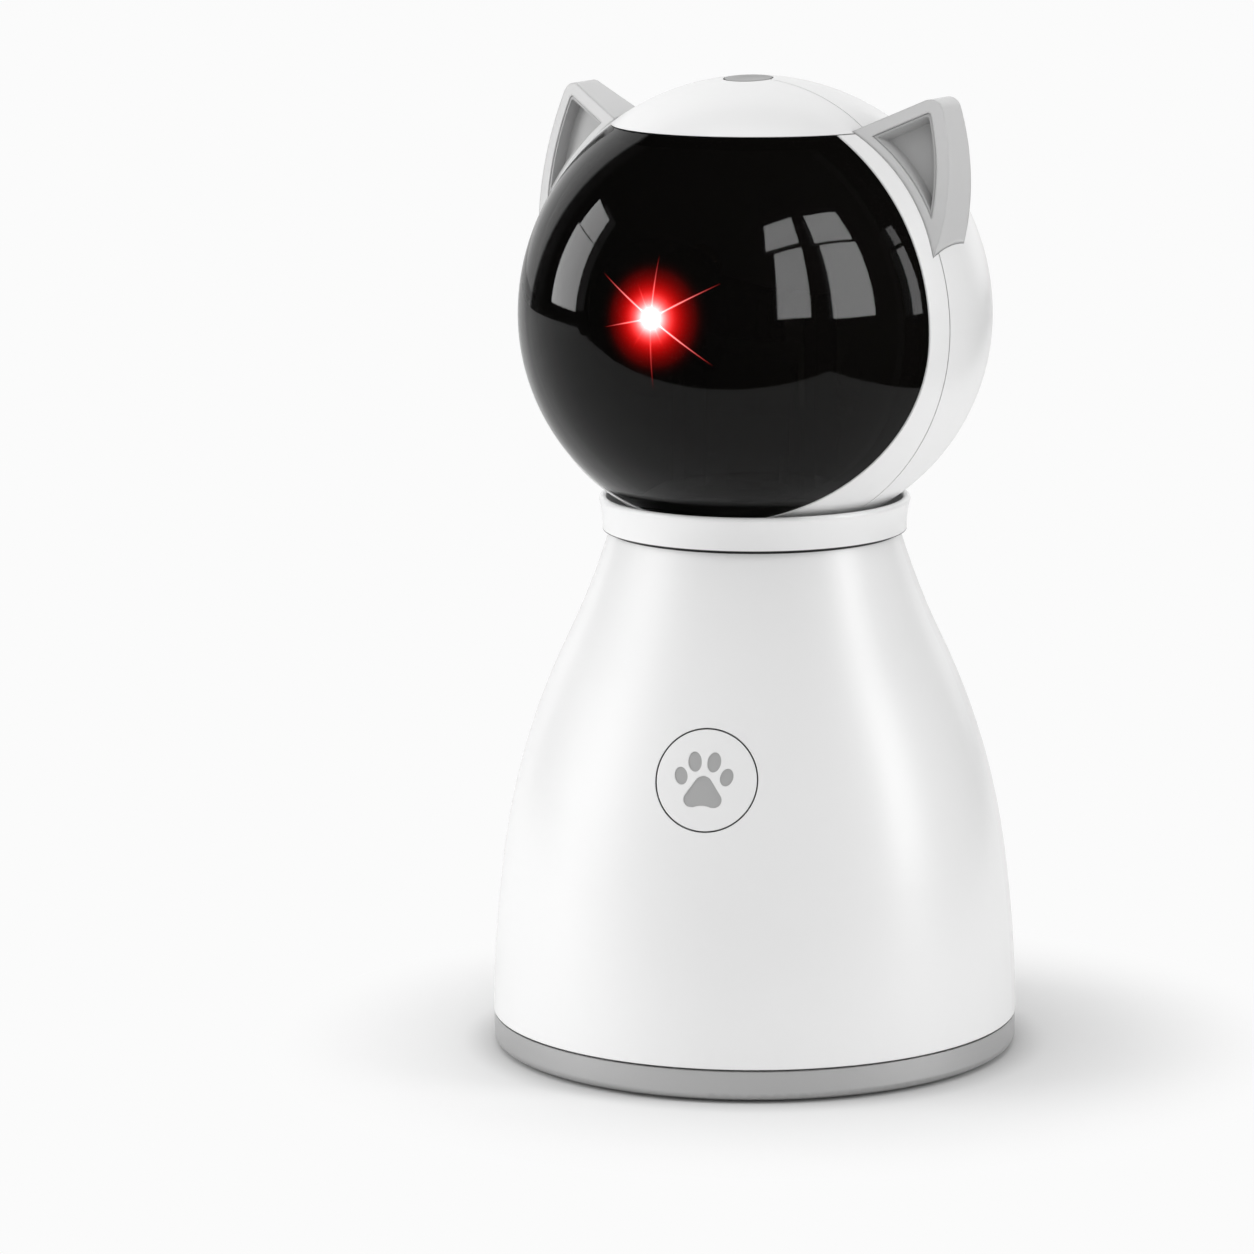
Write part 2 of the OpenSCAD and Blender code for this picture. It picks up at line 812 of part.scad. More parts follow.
module neck_collar() {
    color(white_plastic)
        difference() {
            union() {
                rotate_extrude($fn = 180)
                    collar_outline();
                translate([0, 0, boss_bottom])
                    cylinder(r = boss_r, h = deck_top - boss_bottom - eps);
                ring_of(post_angles, post_at)
                    translate([0, 0, plate_top])
                        cylinder(r = post_r, h = deck_bottom - plate_top + eps);
                // Seat for the upper end of the idler pin
                translate([idler_at, 0, idler_small_z + idler_small_w + 0.4])
                    cylinder(r = idler_boss_r, h = deck_bottom - idler_small_z - idler_small_w);
            }
            translate([0, 0, boss_bottom - 1])
                cylinder(r = spindle_r + run + bushing_t + run, h = far / 4);
            ring_of(post_angles, post_at)
                translate([0, 0, plate_top - 1])
                    cylinder(r = plate_screw_r + eps, h = 8);
            translate([idler_at, 0, 0])
                cylinder(r = idler_pin_r + run, h = deck_bottom - 1);
        }
}

// Half section of the collar: a lip that flares out round the head, a deck and a plug
module collar_outline() {
    lip_round = lip_t / 2;
    foot = neck_z + seam_w;
    top = [lip_out_r, lip_z - lip_round];
    bottom = [collar_r, foot];
    slope = top - bottom;
    across = [slope.y, -slope.x] / norm(slope);
    // Seat on the shell's rim, inside the shadow line
    translate([neck_in_r - 1, neck_z])
        square([neck_r - 0.8 - neck_in_r + 1, seam_w + eps]);
    translate([neck_in_r - 1, foot])
        square([collar_r - neck_in_r + 1, collar_floor - foot]);
    // Wall that flares, slightly hollow, from the seam to the rounded lip
    difference() {
        polygon([bottom - [lip_t, 0], bottom, top, top - [lip_t, 0]]);
        translate((top + bottom) / 2 + across * sqrt(pow(flare_curve, 2) - pow(norm(slope) / 2, 2)))
            circle(r = flare_curve, $fn = 360);
    }
    translate([lip_in_r + lip_round, lip_z - lip_round])
        circle(r = lip_round);
    // Deck, and the plug inside the shell's neck
    translate([0, deck_bottom])
        square([collar_plug_r, deck_t]);
    translate([collar_plug_r - collar_plug_t, neck_z - collar_plug_h])
        square([collar_plug_t, collar_plug_h + 0.4]);
}

module collar_bushing() {
    color(brass)
        tube(spindle_r + run + bushing_t, spindle_r + run, boss_bottom, deck_top);
}

module thrust_washer() {
    color(gear_white)
        tube(washer_r, spindle_r + 0.3, deck_top, deck_top + washer_t);
}

module drive_plate() {
    color(black_plastic)
        difference() {
            union() {
                translate([0, 0, plate_bottom])
                    cylinder(r = post_at + post_r + 0.6, h = plate_t);
                for (a = post_angles)
                    rotate([0, 0, a])
                        translate([0, -lug_w / 2, plate_bottom])
                            cube([plate_r, lug_w, plate_t]);
                // Raised seats for the idler and its pin
                translate([idler_at, 0, plate_bottom - 1.5])
                    cylinder(r = 2.2, h = plate_t + 1.5 + 0.5);
            }
            translate([0, 0, plate_bottom - 1])
                cylinder(r = wire_bore_d / 2 + 1, h = plate_t + 2);
            translate([idler_at, 0, plate_bottom - 2])
                cylinder(r = idler_pin_r + run, h = plate_t + 4);
            ring_of(post_angles, post_at)
                translate([0, 0, plate_bottom - 1])
                    cylinder(r = plate_screw_r + 0.15, h = plate_t + 2);
            at_pan_motor()
                gear_motor_holes(plate_t);
        }
}

module plate_screws() {
    color(steel)
        ring_of(post_angles, post_at)
            translate([0, 0, plate_bottom])
                mirror([0, 0, 1])
                    screw(plate_screw_r, plate_t + plate_thread, plate_head_r, plate_head_t);
}

// The neck motor's mounting face, under the drive plate
module at_pan_motor() {
    translate([idler_at, 0, plate_bottom])
        rotate([0, 0, motor_angle])
            translate([motor_at, 0, 0])
                children();
}

module pan_motor() {
    color(steel)
        at_pan_motor()
            gear_motor();
}

module pan_motor_screws() {
    color(steel)
        at_pan_motor()
            gear_motor_screws(plate_t);
}

module pan_motor_shaft() {
    color(steel)
        at_pan_motor()
            gear_motor_shaft(plate_t + 0.6 + pinion_w + 0.6);
}

module pan_pinion() {
    color(gear_white)
        at_pan_motor()
            difference() {
                translate([0, 0, plate_t + 0.5])
                    rotate([0, 0, 180 + 180 / pinion_teeth])
                        linear_extrude(pinion_w)
                            gear_outline(motor_module, pinion_teeth);
                flatted_bar(motor_shaft_r + eps, motor_flat + eps, false, plate_t, far);
            }
}

module idler_pin() {
    color(steel)
        translate([idler_at, 0, plate_bottom - 1.5])
            cylinder(r = idler_pin_r, h = deck_bottom - 1.2 - plate_bottom + 1.5);
}

module idler_gear() {
    color(gear_white)
        translate([idler_at, 0, 0])
            difference() {
                union() {
                    translate([0, 0, idler_large_z])
                        rotate([0, 0, motor_angle])
                            linear_extrude(idler_large_w)
                                gear_outline(motor_module, idler_teeth);
                    translate([0, 0, idler_large_z + idler_large_w - eps])
                        cylinder(r = head_module * pinion_teeth / 2 - head_module,
                                 h = idler_small_z - idler_large_z - idler_large_w + 2 * eps);
                    translate([0, 0, idler_small_z])
                        rotate([0, 0, 180 + 180 / pinion_teeth])
                            linear_extrude(idler_small_w)
                                gear_outline(head_module, pinion_teeth);
                }
                translate([0, 0, plate_bottom])
                    cylinder(r = idler_pin_r + run, h = far / 4);
            }
}

module head_gear() {
    color(gear_white)
        difference() {
            union() {
                translate([0, 0, head_gear_z])
                    linear_extrude(head_gear_w)
                        gear_outline(head_module, head_teeth);
                translate([0, 0, hub_top - hub_h])
                    cylinder(r = hub_r, h = hub_h);
            }
            rotate([0, 0, -head_turn])
                flatted_bar(spindle_r + eps, spindle_flat + eps, true, plate_top, hub_top + 1);
            // Round lightening holes in the web
            ring_of([for (k = [0 : 5]) 60 * k + 30], (hub_r + head_module * head_teeth / 2) / 2 - 0.3)
                translate([0, 0, plate_top])
                    cylinder(r = 1.3, h = far / 4);
        }
}

// Spring clip in the spindle's groove, open on one side
module gear_clip() {
    color(steel)
        difference() {
            tube(hub_r - 0.4, spindle_r - 1 + eps, clip_z, clip_z + clip_t);
            translate([0, -1.6, clip_z - 1])
                cube([far, 3.2, 3]);
        }
}

// ================= head =================

module turntable() {
    color(black_plastic)
        difference() {
            union() {
                translate([0, 0, turn_plate_z])
                    cylinder(r = turn_plate_r, h = turn_plate_t);
                translate([0, 0, turn_shoulder_z])
                    cylinder(r = shoulder_r, h = turn_shoulder_h + eps);
                translate([0, 0, spindle_end])
                    cylinder(r = spindle_r, h = turn_plate_z - spindle_end + 1);
            }
            // Two flats that drive the head gear
            rotate([0, 0, -head_turn])
                for (side = [0, 180])
                    rotate([0, 0, side])
                        translate([spindle_flat, -far / 2, spindle_end - 1])
                            cube([far, far, hub_top - spindle_end + 1]);
            translate([0, 0, spindle_end - 1])
                cylinder(r = wire_bore_d / 2, h = far);
            tube(far, spindle_r - 1, clip_z - 0.02, clip_z + clip_t + 0.02);
            in_head() {
                ring_of(shell_boss_angles, shell_boss_at)
                    translate([0, 0, head_floor_rel - far / 2])
                        cylinder(r = shell_screw_r + 0.15, h = far);
                at_frame_screws()
                    translate([0, 0, head_floor_rel - frame_thread])
                        cylinder(r = frame_screw_r + eps, h = frame_thread + 1);
            }
        }
}

module turntable_screws() {
    color(steel)
        in_head()
            ring_of(shell_boss_angles, shell_boss_at)
                translate([0, 0, head_floor_rel - turn_plate_t])
                    mirror([0, 0, 1])
                        screw(shell_screw_r, turn_plate_t + shell_thread, shell_head_r, small_head_t);
}

// Side profile of everything behind the rear seam; the forehead's own seam leans forward
module behind_seam(shift) {
    polygon([[-far, -far], [rear_seam - shift, -far], [rear_seam - shift, brow_z],
             [cap_back + cap_lean * (head_r - brow_z) - shift, brow_z],
             [cap_back - shift, head_r], [cap_back - shift, far], [-far, far]]);
}

// Side profile of everything in front of the visor's edge: upright, then sweeping forward
module before_visor_edge(shift) {
    difference() {
        translate([visor_edge + shift, -far])
            square([far, 2 * far]);
        difference() {
            translate([visor_edge + shift - 1, -far])
                square([chin_curve + 1, far + chin_start]);
            translate([visor_edge + shift + chin_curve, chin_start])
                circle(r = chin_curve);
        }
    }
}

module head_rear_shell() {
    color(white_plastic)
        in_head()
            difference() {
                union() {
                    intersection() {
                        head_skin(0, head_wall);
                        across_head()
                            behind_seam(cover_gap / 2);
                    }
                    intersection() {
                        union() {
                            ring_of(shell_boss_angles, shell_boss_at)
                                translate([0, 0, head_floor_rel]) {
                                    cylinder(r = shell_boss_r, h = shell_boss_h);
                                    translate([0, -0.8, 0])
                                        cube([far, 1.6, shell_boss_h]);
                                }
                            for (x = [-crown_post_x, crown_post_x])
                                translate([x, crown_post_y, crown_board_top])
                                    cylinder(r = crown_post_r, h = far);
                        }
                        head_solid(head_wall / 2);
                    }
                }
                ring_of(shell_boss_angles, shell_boss_at)
                    translate([0, 0, head_floor_rel - 1])
                        cylinder(r = shell_screw_r + eps, h = shell_boss_h);
                for (x = [-crown_post_x, crown_post_x])
                    translate([x, crown_post_y, crown_board_top - 1])
                        cylinder(r = board_screw_r + eps, h = 4);
                translate([0, crown_y, head_r / 2])
                    cylinder(r = crown_hole_d / 2, h = head_r);
                ear_peg_holes();
            }
}

module visor_bezel() {
    rib_in = head_r - rib_r + rib_t;
    color(white_plastic)
        in_head() {
            difference() {
                union() {
                    // The visible band between rear cover and visor
                    difference() {
                        intersection() {
                            head_skin(0, head_r - rib_r + 0.05);
                            translate([-far, -far, -far])
                                cube([2 * far, 2 * far, far + brow_z - cover_gap / 2]);
                        }
                        across_head()
                            behind_seam(-cover_gap / 2);
                        across_head()
                            before_visor_edge(0);
                    }
                    // Rib behind it: under the rear cover, behind the visor and below the forehead
                    intersection() {
                        head_skin(head_r - rib_r, rib_in);
                        difference() {
                            translate([-far, -visor_edge - 3, head_floor_rel + 3])
                                cube([2 * far, visor_edge + 3 - rear_seam + 3, 2 * far]);
                            translate([-crown_flange_r - 1.5, -visor_edge + 2, 0])
                                cube([2 * crown_flange_r + 3, far, far]);
                        }
                    }
                }
            }
        }
}

module visor() {
    color(smoke, 0.9)
        in_head()
            intersection() {
                head_skin(visor_inset, visor_inset + visor_t);
                across_head()
                    before_visor_edge(fit);
                translate([-far, -far, -far])
                    cube([2 * far, 2 * far, far + brow_z - cover_gap]);
            }
}

module forehead_cap() {
    rib_in = head_r - rib_r + rib_t;
    color(white_plastic)
        in_head()
            difference() {
                union() {
                    difference() {
                        intersection() {
                            head_skin(0, head_wall);
                            translate([-far, -far, brow_z])
                                cube([2 * far, 2 * far, far]);
                        }
                        across_head()
                            behind_seam(-cover_gap / 2);
                    }
                    // Lip behind the top of the visor
                    intersection() {
                        head_skin(head_wall - eps, rib_in);
                        translate([-far, -far, brow_z - 2.2])
                            cube([2 * far, far - visor_edge - 3.1, 4.4]);
                    }
                }
                // Clearance for the visor's edge behind the forehead
                intersection() {
                    head_skin(head_wall - 1, head_r - rib_r);
                    translate([-far, -far, brow_z - 4])
                        cube([2 * far, 2 * far, 4]);
                }
                translate([0, crown_y, head_r / 2])
                    cylinder(r = crown_hole_d / 2, h = head_r);
            }
}

// --- ears, drawn on the right; the left one is their mirror image ---
ear_foot_r = sqrt(head_r * head_r - ear_front * ear_front);
ear_o = [ear_foot_r * sin(ear_from), -ear_front, ear_foot_r * cos(ear_from)];
ear_mid = (ear_from + ear_to) / 2;
ear_base_l = 2 * ear_foot_r * sin((ear_to - ear_from) / 2);
// Axes of the ear's front face, along its foot and up its height
ear_u = [cos(ear_mid), 0, -sin(ear_mid)];
ear_w = [sin(ear_mid), 0, cos(ear_mid)];
ear_v = ear_w * cos(ear_lean) + [0, sin(ear_lean), 0];
// The head's centre in that face's plane, and the circle in which the plane cuts the head
ear_c = [-ear_o * ear_u, -ear_o * ear_v];
ear_ring_r = norm(ear_c);
// Inner edge: its direction and the direction into the ear
ear_in_d = [sin(ear_skew), cos(ear_skew)];
ear_in_n = [cos(ear_skew), -sin(ear_skew)];
// Outer edge: an arc from the sharp corner to the end of the foot
ear_apex = ear_in_d * ear_h;
ear_end = [ear_base_l, 0];
ear_chord = ear_end - ear_apex;
ear_arc_n = [-ear_chord.y, ear_chord.x] / norm(ear_chord);
ear_arc_c = (ear_apex + ear_end) / 2
            - ear_arc_n * sqrt(pow(ear_bulge, 2) - pow(norm(ear_chord) / 2, 2));

// The ear's outline drawn inset, with a rounded tip
module ear_outline(inset, tip_r, foot) {
    radius = ear_bulge - inset;
    start = ear_in_n * (inset + tip_r) - ear_arc_c;
    // Centre of the tip's rounding: a step along the inner edge that touches the outer arc too
    along = start * ear_in_d;
    step = -along + sqrt(along * along - start * start + pow(radius - tip_r, 2));
    tip_c = ear_arc_c + start + ear_in_d * step;
    out = (tip_c - ear_arc_c) / norm(tip_c - ear_arc_c);
    reach = tip_r + 6;
    difference() {
        union() {
            difference() {
                intersection() {
                    translate(ear_arc_c)
                        circle(r = radius, $fn = 240);
                    polygon([ear_in_n * inset - ear_in_d * far, ear_in_n * inset + ear_in_d * far,
                             ear_in_n * far + ear_in_d * far, ear_in_n * far - ear_in_d * far]);
                    translate([-far, -5])
                        square([2 * far, far]);
                }
                polygon([tip_c, tip_c - ear_in_n * reach, tip_c + (out - ear_in_n) * reach,
                         tip_c + out * reach]);
            }
            translate(tip_c)
                circle(r = tip_r, $fn = 48);
        }
        if (foot > 0)
            translate(ear_c)
                circle(r = ear_ring_r + foot, $fn = 240);
    }
}

// Children drawn on the ear's front face, with +Z straight forward along the head
module in_ear(side) {
    mirror([side < 0 ? 1 : 0, 0, 0])
        multmatrix([[ear_u.x, ear_v.x, 0, ear_o.x],
                    [ear_u.y, ear_v.y, -1, ear_o.y],
                    [ear_u.z, ear_v.z, 0, ear_o.z],
                    [0, 0, 0, 1]])
            children();
}

// The ear between its front face and its steeper back
module ear_block() {
    back_slope = (ear_foot_t - ear_tip_t) / ear_apex.y;
    intersection() {
        translate([0, 0, -2 * ear_foot_t])
            linear_extrude(2 * ear_foot_t)
                ear_outline(0, ear_tip_r, 0);
        rotate([90, 0, 90])
            linear_extrude(2 * far, center = true)
                polygon([[-ear_h, eps], [2 * ear_h, eps],
                         [2 * ear_h, -ear_foot_t + 2 * ear_h * back_slope],
                         [-ear_h, -ear_foot_t - ear_h * back_slope]]);
    }
}

// The dish in the ear: its seat, its lip and the share of its mouth that its floor takes
ear_foot_rim = ear_rim * 0.65;
cup_seat = ear_cup_depth + 0.8;
cup_sink = 0.15;
cup_lip = 0.4;
cup_tip_r = 0.5;
cup_floor_scale = 0.82;
cup_mid = (ear_apex + ear_end) / 3;

// Pegs that hold an ear, square to the head's surface
ear_peg_r = 1.2;
ear_peg_back = 2.5;
ear_peg_angles = [ear_mid - 8, ear_mid + 8];
module ear_pegs(side, r, from, to) {
    for (a = ear_peg_angles)
        rotate([0, side * a, 0])
            rotate([ear_peg_back, 0, 0])
                translate([0, 0, from])
                    cylinder(r = r, h = to - from);
}

module ear_peg_holes() {
    for (side = [-1, 1])
        ear_pegs(side, ear_peg_r + fit, head_r - 5, head_r + 2);
}

module ear(side) {
    color(ear_grey)
        in_head() {
            difference() {
                in_ear(side)
                    difference() {
                        ear_block();
                        translate([0, 0, -cup_seat])
                            linear_extrude(cup_seat + 1)
                                ear_outline(ear_rim, cup_tip_r, ear_foot_rim);
                    }
                head_solid(-0.02);
            }
            ear_pegs(side, ear_peg_r, head_r - head_wall + 0.2, head_r + 0.6);
        }
}

// Darker dish with sloping walls, set into the ear's front
module ear_cup(side) {
    color(cup_grey)
        in_head()
            difference() {
                in_ear(side)
                    difference() {
                        translate([0, 0, -cup_seat])
                            linear_extrude(cup_seat - cup_sink)
                                ear_outline(ear_rim + fit, cup_tip_r, ear_foot_rim + fit);
                        translate([cup_mid.x, cup_mid.y, -ear_cup_depth])
                            linear_extrude(ear_cup_depth, scale = 1 / cup_floor_scale)
                                scale(cup_floor_scale)
                                    translate(-cup_mid)
                                        ear_outline(ear_rim + cup_lip, cup_tip_r - 0.1,
                                                    ear_foot_rim + cup_lip);
                    }
                head_solid(-0.04);
            }
}

// --- crown button, its switch and board ---
module crown_button() {
    color(steel)
        in_head()
            translate([0, crown_y, 0]) {
                intersection() {
                    translate([0, 0, crown_flange_top - crown_flange_t])
                        cylinder(r = crown_r, h = far);
                    translate([0, -crown_y, 0])
                        sphere(r = head_r, $fn = 180);
                }
                translate([0, 0, crown_flange_top - crown_flange_t])
                    cylinder(r = crown_flange_r, h = crown_flange_t);
                translate([0, 0, crown_plunger_top])
                    cylinder(r = stem_r, h = stem_l + eps);
            }
}

module crown_switch() {
    color(black_plastic)
        in_head()
            translate([0, crown_y, crown_board_top])
                tact_switch();
}

module crown_plunger() {
    color(grey_plastic)
        in_head()
            translate([0, crown_y, crown_switch_top])
                plunger();
}

module crown_board() {
    color(board_green)
        in_head()
            difference() {
                translate([-crown_board_x, crown_y - 4.5, crown_board_top - crown_board_t])
                    cube([2 * crown_board_x, crown_post_y - crown_y + 7, crown_board_t]);
                for (x = [-crown_post_x, crown_post_x])
                    translate([x, crown_post_y, 0])
                        cylinder(r = 1, h = far);
            }
}

module crown_board_screws() {
    color(steel)
        in_head()
            for (x = [-crown_post_x, crown_post_x])
                translate([x, crown_post_y, crown_board_top - crown_board_t])
                    mirror([0, 0, 1])
                        screw(board_screw_r, crown_board_t + crown_thread, small_head_r, small_head_t);
}

// ================= laser and its drive =================

module at_frame_screws() {
    for (p = [[-9, frame_y0 + 2.6], [9, frame_y0 + 2.6], [-1.5, frame_y1 - 2.8]])
        translate([p.x, p.y, 0])
            children();
}

module tilt_frame() {
    floor_z = head_floor_rel;
    color(black_plastic)
        in_head()
            difference() {
                union() {
                    // Base plate, kept clear of the rear cover's screw bosses
                    difference() {
                        intersection() {
                            translate([-upright_in - upright_t, frame_y0, floor_z])
                                cube([2 * (upright_in + upright_t), frame_y1 - frame_y0, frame_t]);
                            translate([0, 0, floor_z])
                                cylinder(r = frame_r, h = frame_t);
                        }
                        ring_of(shell_boss_angles, shell_boss_at)
                            translate([0, 0, floor_z - 1])
                                cylinder(r = shell_boss_r + 0.4, h = frame_t + 2);
                    }
                    // Uprights with round heads that carry the laser's cradle
                    for (x = [-upright_in - upright_t, upright_in])
                        on_cross_axis(x) {
                            cylinder(r = upright_w / 2, h = upright_t);
                            translate([0, -upright_w / 2, 0])
                                cube([-floor_z, upright_w, upright_t]);
                        }
                    // Wall that carries the motor
                    translate([tilt_wall_x, 0, 0])
                        rotate([90, 0, 90])
                            linear_extrude(tilt_wall_t)
                                polygon([[frame_y1 - 7, floor_z], [frame_y1, floor_z],
                                         [tilt_motor_y + 6, tilt_motor_z - 8],
                                         [tilt_motor_y + 6, tilt_motor_z + 7],
                                         [tilt_motor_y - 6, tilt_motor_z + 7],
                                         [frame_y1 - 7, tilt_motor_z - 4]]);
                }
                on_cross_axis(-far / 2)
                    cylinder(r = pivot_r + run, h = far);
                at_tilt_motor()
                    gear_motor_holes(tilt_wall_t);
                at_frame_screws()
                    translate([0, 0, floor_z - 1])
                        cylinder(r = frame_screw_r + 0.15, h = 4);
                translate([0, 0, floor_z - 1])
                    cylinder(r = wire_bore_d / 2 + 0.6, h = 4);
            }
}

module tilt_frame_screws() {
    color(steel)
        in_head()
            at_frame_screws()
                translate([0, 0, head_floor_rel + frame_t])
                    screw(frame_screw_r, frame_t + frame_thread - 0.1, small_head_r, small_head_t);
}

// The head motor's mounting face, on the inner side of the frame's wall, shaft along +X
module at_tilt_motor() {
    on_cross_axis(tilt_wall_x)
        rotate([0, 0, tilt_motor_angle])
            translate([sector_at, 0, 0])
                rotate([0, 0, 45])
                    children();
}

module tilt_motor() {
    color(steel)
        in_head()
            at_tilt_motor()
                gear_motor();
}

module tilt_motor_screws() {
    color(steel)
        in_head()
            at_tilt_motor()
                gear_motor_screws(tilt_wall_t);
}

module tilt_motor_shaft() {
    color(steel)
        in_head()
            at_tilt_motor()
                gear_motor_shaft(tilt_pinion_x - tilt_wall_x + pinion_w + 0.4);
}

module tilt_pinion() {
    z0 = tilt_pinion_x - tilt_wall_x;
    color(gear_white)
        in_head()
            at_tilt_motor()
                difference() {
                    translate([0, 0, z0])
                        rotate([0, 0, 180 + 180 / pinion_teeth - 45])
                            linear_extrude(pinion_w)
                                gear_outline(head_module, pinion_teeth);
                    flatted_bar(motor_shaft_r + eps, motor_flat + eps, false, z0 - 1, far);
                }
}

module laser_cradle() {
    color(black_plastic)
        in_head()
            difference() {
                union() {
                    // Cross shaft, flatted, with a round pivot at each end
                    on_cross_axis(-upright_in + 0.2)
                        flatted_bar(cross_r, cross_flat, true, 0, 2 * upright_in - 0.4);
                    on_cross_axis(-upright_in - upright_t)
                        cylinder(r = pivot_r, h = 2 * (upright_in + upright_t));
                    on_cross_axis(-5)
                        cylinder(r = 4.5, h = 10);
                    // Arm from the hub to the underside of the holder
                    across_head(5)
                        polygon([[-2, 4], [-2, -4], [3, -4.2], [lens_f.x - 6, lens_f.y - 2.5],
                                 [lens_f.x - 9, lens_f.y + 3], [lens_f.x - 16, lens_f.y + 5]]);
                    at_lens()
                        translate([0, 0, -holder_from - holder_l])
                            cylinder(r = barrel_r + holder_t, h = holder_l);
                }
                at_lens()
                    translate([0, 0, -far / 2])
                        cylinder(r = barrel_r + eps, h = far);
            }
}

module sector_gear() {
    first = tilt_motor_angle + sector_first * 360 / sector_teeth;
    color(gear_white)
        in_head()
            on_cross_axis(sector_x)
                difference() {
                    union() {
                        rotate([0, 0, tilt_motor_angle])
                            linear_extrude(sector_w)
                                polygon(concat([[0, 0]],
                                    [for (k = [sector_first : sector_first + sector_count - 1])
                                        each tooth(head_module, sector_teeth, k)]));
                        translate([0, 0, -0.4])
                            cylinder(r = sector_hub_r, h = sector_w + 0.8);
                    }
                    translate([0, 0, -1])
                        flatted_bar(cross_r + eps, cross_flat + eps, true, 0, sector_w + 2);
                    // Window in the web
                    rotate([0, 0, first + sector_count * 180 / sector_teeth - 4])
                        translate([9.2, 0, -1])
                            cylinder(r = 2.2, h = sector_w + 2);
                }
}

module laser_barrel() {
    color(brass)
        in_head()
            at_lens()
                difference() {
                    translate([0, 0, -barrel_l])
                        cylinder(r = barrel_r, h = barrel_l);
                    translate([0, 0, -lens_t - 0.3])
                        cylinder(r = lens_r + fit, h = lens_t + 1);
                    translate([0, 0, -barrel_l + 1.5])
                        cylinder(r = 1.2, h = barrel_l);
                    translate([0, 0, -barrel_l - 1])
                        cylinder(r = barrel_r - 0.7 + fit, h = 2);
                }
}

module laser_lens() {
    color("#d8323a", 0.8)
        in_head()
            at_lens()
                translate([0, 0, -lens_t - 0.3])
                    cylinder(r = lens_r, h = lens_t);
}

module laser_driver() {
    color(board_green)
        in_head()
            at_lens()
                translate([0, 0, -barrel_l]) {
                    cylinder(r = barrel_r - 0.7, h = 1);
                    translate([-1.6, -1.1, -1.4])
                        cube([3.2, 2.2, 1.4 + eps]);
                }
}

// ================= paw button =================

module paw_outline() {
    shift = [print_shift, -0.6];
    translate(shift)
        scale(paw_print_scale) {
            for (s = [-1, 1]) {
                translate([s * 3.85, 1.2])
                    rotate(-s * 15)
                        toe(1.08, 1.48);
                translate([s * 1.62, 3.6])
                    rotate(-s * 7)
                        toe(1.14, 1.67);
            }
            // Main pad: three lobes, with a hollow along its lower edge
            difference() {
                hull() {
                    translate([0, -0.35])
                        circle(r = 1.6, $fn = 36);
                    for (s = [-1, 1])
                        translate([s * 1.95, -2.65])
                            circle(r = 1.28, $fn = 36);
                }
                translate([0, -7.65])
                    circle(r = 4, $fn = 96);
            }
        }
}

module toe(half_w, half_h) {
    polygon([for (a = [0 : 15 : 345]) [half_w * cos(a), half_h * sin(a)]]);
}

module paw_button() {
    color(white_plastic)
        difference() {
            union() {
                intersection() {
                    at_paw()
                        translate([0, 0, paw_flange_z - paw_flange_t])
                            cylinder(r = paw_cap_r, h = far / 4);
                    body_solid(0);
                }
                at_paw()
                    translate([0, 0, paw_flange_z - paw_flange_t])
                        cylinder(r = paw_flange_r, h = paw_flange_t);
            }
            // Hollow back, round the stem
            at_paw()
                tube(paw_cap_r - 1.4, stem_r, paw_flange_z - paw_flange_t - 1,
                     -paw_face_t - paw_sag);
            // Bed of the print
            difference() {
                at_paw()
                    translate([0, 0, -4])
                        linear_extrude(far / 4)
                            paw_outline();
                body_solid(print_sink + print_t);
            }
        }
    color(white_plastic)
        at_paw()
            translate([0, 0, paw_plunger_z])
                cylinder(r = stem_r, h = stem_l + eps);
}

module paw_print() {
    color(print_grey)
        difference() {
            intersection() {
                at_paw()
                    translate([0, 0, -4])
                        linear_extrude(far / 4)
                            paw_outline();
                body_solid(print_sink);
            }
            body_solid(print_sink + print_t);
        }
}

module paw_switch() {
    color(black_plastic)
        at_paw()
            translate([0, 0, paw_board_z])
                tact_switch();
}

module paw_plunger() {
    color(grey_plastic)
        at_paw()
            translate([0, 0, paw_switch_z])
                plunger();
}

module paw_board() {
    color(board_green)
        at_paw()
            difference() {
                translate([-paw_board_w / 2, -paw_board_h / 2, paw_board_z - paw_board_t])
                    cube([paw_board_w, paw_board_h, paw_board_t]);
                for (x = [-paw_post_x, paw_post_x])
                    translate([x, 0, paw_board_z - 2])
                        cylinder(r = 1.1, h = 4);
            }
}

module paw_board_screws() {
    color(steel)
        at_paw()
            for (x = [-paw_post_x, paw_post_x])
                translate([x, 0, paw_board_z - paw_board_t])
                    mirror([0, 0, 1])
                        screw(board_screw_r, paw_board_t + paw_thread, small_head_r, small_head_t);
}

// ================= boards and power =================

module main_board_holes() {
    for (side = [-1, 1]) {
        translate([side * (main_board_half - main_hole_in), main_board_y0 + main_hole_in, 0])
            children();
        rotate([0, 0, side * main_board_hole_turn])
            translate([0, main_board_r - main_hole_rim, 0])
                children();
    }
}

module main_board() {
    color(board_green)
        difference() {
            intersection() {
                translate([0, 0, main_board_z])
                    cylinder(r = main_board_r, h = board_t);
                translate([-main_board_half, main_board_y0, main_board_z - 1])
                    cube([2 * main_board_half, far, board_t + 2]);
            }
            main_board_holes()
                translate([0, 0, main_board_z - 1])
                    cylinder(r = 1.2, h = board_t + 2);
            // Room round the shell's screw bosses
            ring_of(cover_angles, foot_circle)
                cylinder(r = cover_boss_r + 0.6, h = far / 4);
        }
}

module main_board_screws() {
    color(steel)
        main_board_holes()
            translate([0, 0, main_board_z + board_t])
                screw(board_screw_r, board_t + main_thread, small_head_r, small_head_t);
}

